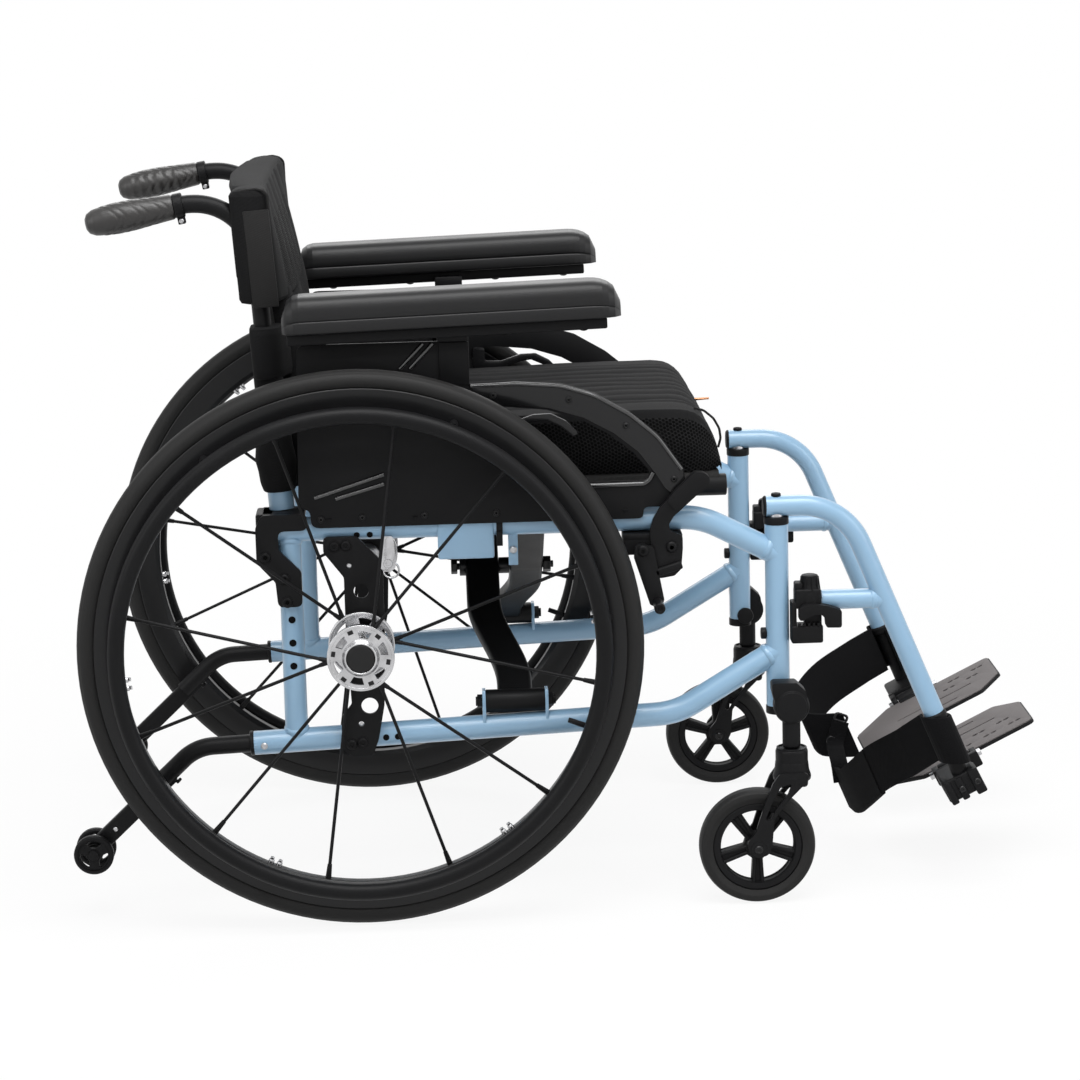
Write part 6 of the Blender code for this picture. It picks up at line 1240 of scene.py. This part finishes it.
def cushion_height(x):
    """How high the top stands over the sling's plane at this x, before the crown."""
    if x > 0.338:
        drop = min(1, (x - 0.338) / (seat_front - 0.338))
        return 0.0655 * (1 - drop ** 2.6) ** 0.62
    rise = 0.061 + 0.005 * sin(pi / 2 * min(1, max(0, (x - 0.1) / 0.2)))
    return rise * (1 - max(0, -x / 0.049) ** 3 * 0.3)


def cushion_side(h):
    """How far a side stands out at this share of its height, as a share of half the cushion's width."""
    return 0.985 + 0.018 * sin(pi * min(1, h / 0.72)) - 0.01 * max(0, h - 0.72) / 0.28


rings = []
for k in range(88):
    if k <= 74:
        x = seat_rear + (front_curve - seat_rear) * k / 74
    else:
        x = front_curve + (seat_front - front_curve) * sin(pi / 2 * (k - 74) / 13)
    tall = max(0.006, cushion_height(x))
    low = base_z + (0.006 * max(0, (x - 0.372) / 0.014) ** 1.5 if x > 0.372 else 0)
    end = min(1, (x - seat_rear) / 0.01)
    wide = seat_half * (0.985 + 0.015 * ((x - 0.165) / 0.21) ** 2) * (0.975 + 0.025 * end ** 0.5)
    wide -= 0.01 * max(0, (x - 0.35) / 0.036) ** 2
    high = tall + base_z - low
    ring = [at(x, wide * 0.985 * (-1 + 2 * j / 24), low) for j in range(24)]
    ring += [at(x, wide * cushion_side(j / 14), low + high * (j / 14) * 0.93) for j in range(14)]
    for j in range(97):
        a = 1 - 2 * j / 96
        y = a * wide * 0.975
        past = (abs(y) - channelled) / 0.012
        seam = abs(cos(pi * y / channel)) ** 0.6 if past < 0 else min(1, past) ** 0.5
        edge = max(0, (abs(a) - 0.93) / 0.07)
        piping = 0.0016 * max(0, 1 - abs(abs(a) - 0.955) / 0.02)
        stitched = (0.0034 * (seam - 1) + piping + 0.002) * min(1, tall / 0.05)
        ring.append(at(x, y, low + high * (1 - 0.05 * a ** 4) - 0.007 * edge ** 2 + stitched))
    for h in (1 - (j + 1) / 14 for j in range(14)):
        ring.append(at(x, -wide * cushion_side(h), low + high * h * 0.93))
    rings.append(ring[:-1])
bm = bmesh.new()
skinned(bm, rings)
for v in bm.verts:
    away = noise.noise(v.co * 9) * 0.002 + noise.noise(v.co * 26 + Vector((3, 1, 7))) * 0.0008
    if v.co.z > base_z + 0.004:
        v.co.z += away
cushion = finished("seat_cushion_cover", bm, knit, None, ["seat_cushion"], sharp=70)
cushion.data.materials.append(mesh_cloth)
for face in cushion.data.polygons:
    side_face = abs(face.normal.y) > 0.72 and abs(face.center.y) > 0.17
    front_low = face.center.x > axle_x + 0.345 and face.center.z < 0.5 and abs(face.center.y) > 0.12
    if (side_face or front_low) and face.center.z < 0.517:
        face.material_index = 1
bm = bmesh.new()
cord_line = [at(*p) for p in ((0.36, -0.155, 0.521), (0.37, -0.158, 0.5185), (0.38, -0.16, 0.51),
                              (0.386, -0.16, 0.499), (0.3875, -0.158, 0.488), (0.385, -0.155, 0.478))]
bent_tube(bm, cord_line, 0.0013, 0.012, 10)
loop = finished("cushion_pull_loop", bm, nylon, None)
copper = finish("copper_zip_pull", (0.45, 0.22, 0.12), 400, 0.1, (0.25, 0.45), 2000, 0.00002, metallic=1.0)
bm = bmesh.new()
rod(bm, at(0.372, 0.02, 0.503), at(0.3905, 0.02, 0.5036), 0.0017, 0.0012, sides=14, edge=0.0003)
pull = finished("cushion_zip_pull", bm, copper, None)
for piece in (cushion, loop, pull):
    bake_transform(piece)

# Back upholstery: a padded panel in front of the canes whose side pockets wrap round the handles, with
# a flap of hook-and-loop tape down each side, a lower band round the canes and a curtain to the seat.
back_top, half_width = 0.7725, 0.215


def back_front(z):
    """Where the middle of the panel's front is at this height."""
    return -0.0505 - 0.1 * (z - 0.6) - 0.7 * (z - 0.6) ** 2


def back_side(z):
    """Where the panel's front edges are at this height."""
    return -0.077 - 0.019 * (z - 0.609)


def back_ring(z, half, rear, depth, inset=0.0, channels=0.0):
    """One level of the panel: its front from left to right, then its rear."""
    ring = []
    for k in range(61):
        a = -1 + k / 30
        mix = abs(a) ** 4
        puff = channels * (abs(cos(pi * 3.5 * a)) ** 0.5 - 1) if abs(a) < 0.86 else 0
        corner_in = 0.01 * max(0, (abs(a) - 0.94) / 0.06) ** 2
        x = back_front(z) * (1 - mix) + back_side(z) * mix - inset + puff - corner_in
        ring.append(at(x, a * half, z))
    step = half - 0.04
    rear_line = [(rear + inset + 0.006, half), (rear + inset + 0.001, half - 0.004),
                 (rear + inset, half - 0.012), (rear + inset, step + 0.006), (rear + inset + 0.004, step),
                 (back_front(z) - depth, step - 0.012), (back_front(z) - depth - 0.006, step * 0.5),
                 (back_front(z) - depth - 0.01, 0)]
    ring += [at(x, a, z) for x, a in rear_line] + [at(x, -a, z) for x, a in reversed(rear_line[:-1])]
    return ring


def cane_rear(z):
    """Where the side pockets' rear is at this height, behind the canes."""
    return (cane_point(z) - at(0, 0, 0)).x - 0.0215


panel_low, panel_high = 0.6535, back_top - 0.0085
rings = [back_ring(0.652, half_width - 0.003, cane_rear(0.652) + 0.004, 0.03, 0.005)]
for k in range(33):
    z = panel_low + (panel_high - panel_low) * k / 32
    bulge = 0.0015 * sin(pi * k / 32)
    rings.append(back_ring(z, half_width - 0.001 + bulge, cane_rear(z), 0.036, 0.0 if k else 0.002,
                           0.0035 * min(1, k / 8)))
for rise, inset in ((0.006, 0.001), (0.0036, 0.0024), (0.0018, 0.0042)):
    rings.append(back_ring(back_top - rise, half_width - 0.001 - inset * 0.8, cane_rear(back_top) + inset,
                           0.036 - inset, inset))


def crossing(line, y):
    """Where a line of places, in the order of their y, stands at this y."""
    for a, b in zip(line, line[1:]):
        if b.y >= y:
            return a.x + (b.x - a.x) * max(0, y - a.y) / max(1e-9, b.y - a.y)
    return line[-1].x


edge = rings[-1]
front_line, rear_line = edge[:61], sorted(edge[61:], key=lambda place: place.y)
for share in (0.25, 0.5, 0.75, 0.95):
    ring = []
    for place in edge:
        y = place.y * (1 - 0.02 * share)
        middle = (crossing(front_line, y) + crossing(rear_line, y)) / 2
        x, z = place.x + (middle - place.x) * share, place.z + 0.0018 * (1 - (1 - share) ** 2)
        ring.append(Vector((x, y, z)))
    rings.append(ring)
bm = bmesh.new()
skinned(bm, rings)
for v in bm.verts:
    rough = noise.noise(v.co * 11 + Vector((5, 2, 1))) * 0.0022
    if abs(v.co.y) > half_width - 0.012:
        v.co.y += rough if v.co.y > 0 else -rough
    else:
        v.co.x += rough
rings = [back_ring(z, half_width + 0.0075 - 0.002 * abs(t), cane_rear(z) + 0.003, 0.03, 0.004 + 0.002 * t * t)
         for z, t in ((0.574, 1), (0.5755, 0.6), (0.582, 0.2), (0.602, 0), (0.6205, 0.2), (0.6265, 0.6),
                      (0.628, 1))]
skinned(bm, rings)
back = finished("back_upholstery_cover", bm, knit, "frame_R", ["back_upholstery"], sharp=60)
back.data.materials.append(mesh_cloth)
for face in back.data.polygons:
    if face.normal.x > 0.6 and abs(face.center.y) < 0.165 and 0.6 < face.center.z < 0.735:
        face.material_index = 1
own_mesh(back)
bm = bmesh.new()
for side in (-1, 1):
    flap_turn = at(-0.0905, side * 0.215, 0.7)
    block(bm, (-0.0135, -0.0016, -0.051), (0.0135, 0.0016, 0.05), 0.0012, 2,
          Matrix.Translation(flap_turn) @ Matrix.Rotation(radians(-4), 4, "Y"))
    flap_piping = [at(back_side(z) - 0.001, side * (half_width - 0.0035), z)
                   for z in (0.656, 0.68, 0.705, 0.73, 0.752, 0.7635)]
    flap_piping += [at(x, side * (half_width - 0.0045), z)
                    for x, z in ((-0.0835, 0.769), (-0.093, 0.7715), (-0.108, 0.77), (-0.1175, 0.764))]
    bent_tube(bm, flap_piping, 0.0014, 0.01, 10)
flap = finished("back_side_flaps", bm, nylon, "frame_R")
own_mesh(flap)

# Curtain of the back: a loose padded flap of the same cloth that hangs between the canes, from the panel
# down to the seat.
rings = []
for k in range(23):
    z = 0.4535 + 0.2105 * k / 22
    front = [at(back_front(z) - 0.004 + 0.0025 * cos(a * 7 + z * 30)
                - 0.012 * max(0, (abs(a) - 0.85) / 0.15) ** 2, a * 0.178, z)
             for a in (-1 + j / 16 for j in range(33))]
    rear = [at(back_front(z) - 0.024 - 0.0025 * cos(a * 6 + z * 20), a * 0.178, z)
            for a in (1 - j / 16 for j in range(33))]
    rings.append(front + rear)
bm = bmesh.new()
skinned(bm, rings)
curtain = finished("back_curtain", bm, knit, "frame_R", sharp=60)
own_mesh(curtain)

# Sleeves of the back: stretch cloth drawn down over each cane to just above the bracket. Each is a little
# loose below the band, and tight inside it.
bm = bmesh.new()
sleeve_side = [(0.0137, 0.02), (0.015, 0.0192), (0.0162, 0.0205), (0.017, 0.026)]
sleeve_side += [(0.0172 - 0.0022 * (k / 24) ** 1.5, 0.026 + 0.1155 * k / 24) for k in range(1, 25)]
sleeve_side += [(0.0144, 0.1425), (0.0142, 0.144), (0.0142, 0.178), (0.0137, 0.1784)]
lathe(bm, sleeve_side, cane_foot, lean, 56)
for v in bm.verts:
    rise, outward = v.co.z - cane_foot_z, v.co - cane_point(v.co.z)
    if outward.length > 0.0145:
        loose = max(0, 1 - abs(rise - 0.052) / 0.045) ** 1.3
        fold = noise.noise(Vector((v.co.x * 30, v.co.y * 30, v.co.z * 70))) * 0.0009
        v.co += Vector((-0.0058 if outward.x < 0 else 0.003, 0, 0)) * loose * abs(outward.x) / outward.length
        v.co += outward.normalized() * fold
for cloth in pair("back_cane_sleeve", bm, knit, "frame", sharp=60):
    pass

# Calf strap: black webbing 55 mm wide, looped round the foot of each hanger. The near half runs through
# a thick sleeve in the middle, and the far half through two plastic rings.
web = (0.0042, 0.0042, 0.0046)
webbing, shader = material("black_webbing", web, 0.9, gleam=0.06)
weave(webbing, shader, web, 0.0018, 0.00016, 0.86, 0.5)
strap_tilt = Vector((sin(hanger_slope), 0, -cos(hanger_slope)))
# Each half's turn round the tube: over the tube's radius, its gap and the band's thickness, with room for
# the tilt of the band, and then drawn snug.
loop_z, snug = 0.1655, 0.96
loop_radius = ((0.0125 + 0.0003) / cos(hanger_slope) + 0.0018) / cos(radians(18.2)) * snug


def strap_loop(side, first, last):
    """The strap's turn round the tube on one side, between two bearings in degrees."""
    return [at(hanger_x(loop_z) + loop_radius * cos(radians(a)), side * 0.215 + loop_radius * sin(radians(a)),
               loop_z) for a in (first + (last - first) * k / 18 for k in range(19))]


def smoothed(points, steps=6):
    """Extra points on a smooth curve through these."""
    path = []
    padded_points = [points[0] * 2 - points[1]] + points + [points[-1] * 2 - points[-2]]
    for a, b, c, d in zip(padded_points, padded_points[1:], padded_points[2:], padded_points[3:]):
        for k in range(steps):
            t = k / steps
            path.append((b * 2 + (c - a) * t + (a * 2 - b * 5 + c * 4 - d) * t * t
                         + (b * 3 - a - c * 3 + d) * t ** 3) / 2)
    return path + [points[-1]]


def run(path):
    """The length of a path."""
    return sum((b - a).length for a, b in zip(path, path[1:]))


def band(bm, path, thick, wide, corner=0.0006):
    """A flat band on edge along a path, its width along the hanger. Gives the path's length."""
    stands = []
    for k, place in enumerate(path):
        ahead = path[min(k + 1, len(path) - 1)] - path[max(k - 1, 0)]
        across = Vector((-ahead.y, ahead.x, 0)).normalized()
        normal = across.cross(strap_tilt).normalized()
        stands.append(framed(place, across, strap_tilt, normal))
    swept(bm, rounded_outline(slab(thick, wide), corner, 2), stands)
    return run(path)


def strap_piece(name, bm, look, side, nodes=(), sharp=50):
    """A piece of the strap on this side's hanger, which draws in towards it as the chair folds."""
    piece = finished(name, bm, look, "hanger_" + side, nodes, sharp)
    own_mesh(piece)
    return piece


near = [at(*p) for p in ((0.583, -0.174, 0.14), (0.556, -0.125, 0.109), (0.542, -0.072, 0.075),
                         (0.537, -0.044, 0.062), (0.5325, -0.026, 0.0622))]
far = [at(*p) for p in ((0.548, 0.03, 0.108), (0.524, 0.032, 0.1075), (0.505, 0.038, 0.1085),
                        (0.4975, 0.055, 0.117), (0.504, 0.086, 0.1295), (0.532, 0.13, 0.145),
                        (0.578, 0.18, 0.159))]
for name, side, path in (("near", "R", strap_loop(-1, 80, -210) + smoothed(near)),
                         ("far", "L", smoothed(far) + strap_loop(1, 210, -80))):
    bm = bmesh.new()
    length = band(bm, path, 0.0026, 0.055)
    strap = strap_piece(f"calf_strap_{name}_half", bm, webbing, side, ["calf_strap"])
near_fold = ((0.5545, -0.119, 0.1045), (0.542, -0.072, 0.075), (0.537, -0.044, 0.062),
             (0.5318, -0.0235, 0.0622))
far_fold = ((0.549, 0.03, 0.108), (0.524, 0.032, 0.1075), (0.5062, 0.0374, 0.1083))
for name, side, places in (("near", "R", near_fold), ("far", "L", far_fold)):
    bm = bmesh.new()
    band(bm, smoothed([at(*p) for p in places]), 0.0066, 0.056, 0.0022)
    strap_piece(f"calf_strap_{name}_fold", bm, webbing, side)
bm = bmesh.new()
ring_line = ((-0.007, 0), (-0.007, 0.004), (0.007, 0.004), (0.007, -0.004), (-0.007, -0.004),
             (-0.007, 0.0004))
for x, y, z in ((0.536, 0.0235, 0.13), (0.5275, 0.0225, 0.103)):
    ring_turn = Matrix.Translation(at(x, y, z)) @ Matrix.Rotation(radians(20), 4, "Y")
    bent_tube(bm, [ring_turn @ Vector((u, 0, w)) for u, w in ring_line], 0.0016, 0.003, 12)
strap_piece("calf_strap_rings", bm, gloss_plastic, "L", sharp=35)
bm = bmesh.new()
tongue = smoothed([at(*p) for p in ((0.536, 0.023, 0.1262), (0.529, 0.0195, 0.103), (0.527, -0.005, 0.0985),
                                    (0.5275, -0.029, 0.09), (0.53, -0.0325, 0.07))])
stands = []
for k, place in enumerate(tongue):
    ahead = (tongue[min(k + 1, len(tongue) - 1)] - tongue[max(k - 1, 0)]).normalized()
    across = (Vector((1, 0, 0)) - ahead * ahead.x).normalized()
    stands.append(framed(place, across, ahead.cross(across), ahead))
swept(bm, rounded_outline(slab(0.019, 0.0018), 0.0005, 2), stands)
joining = strap_piece("calf_strap_joining_web", bm, webbing, "L")
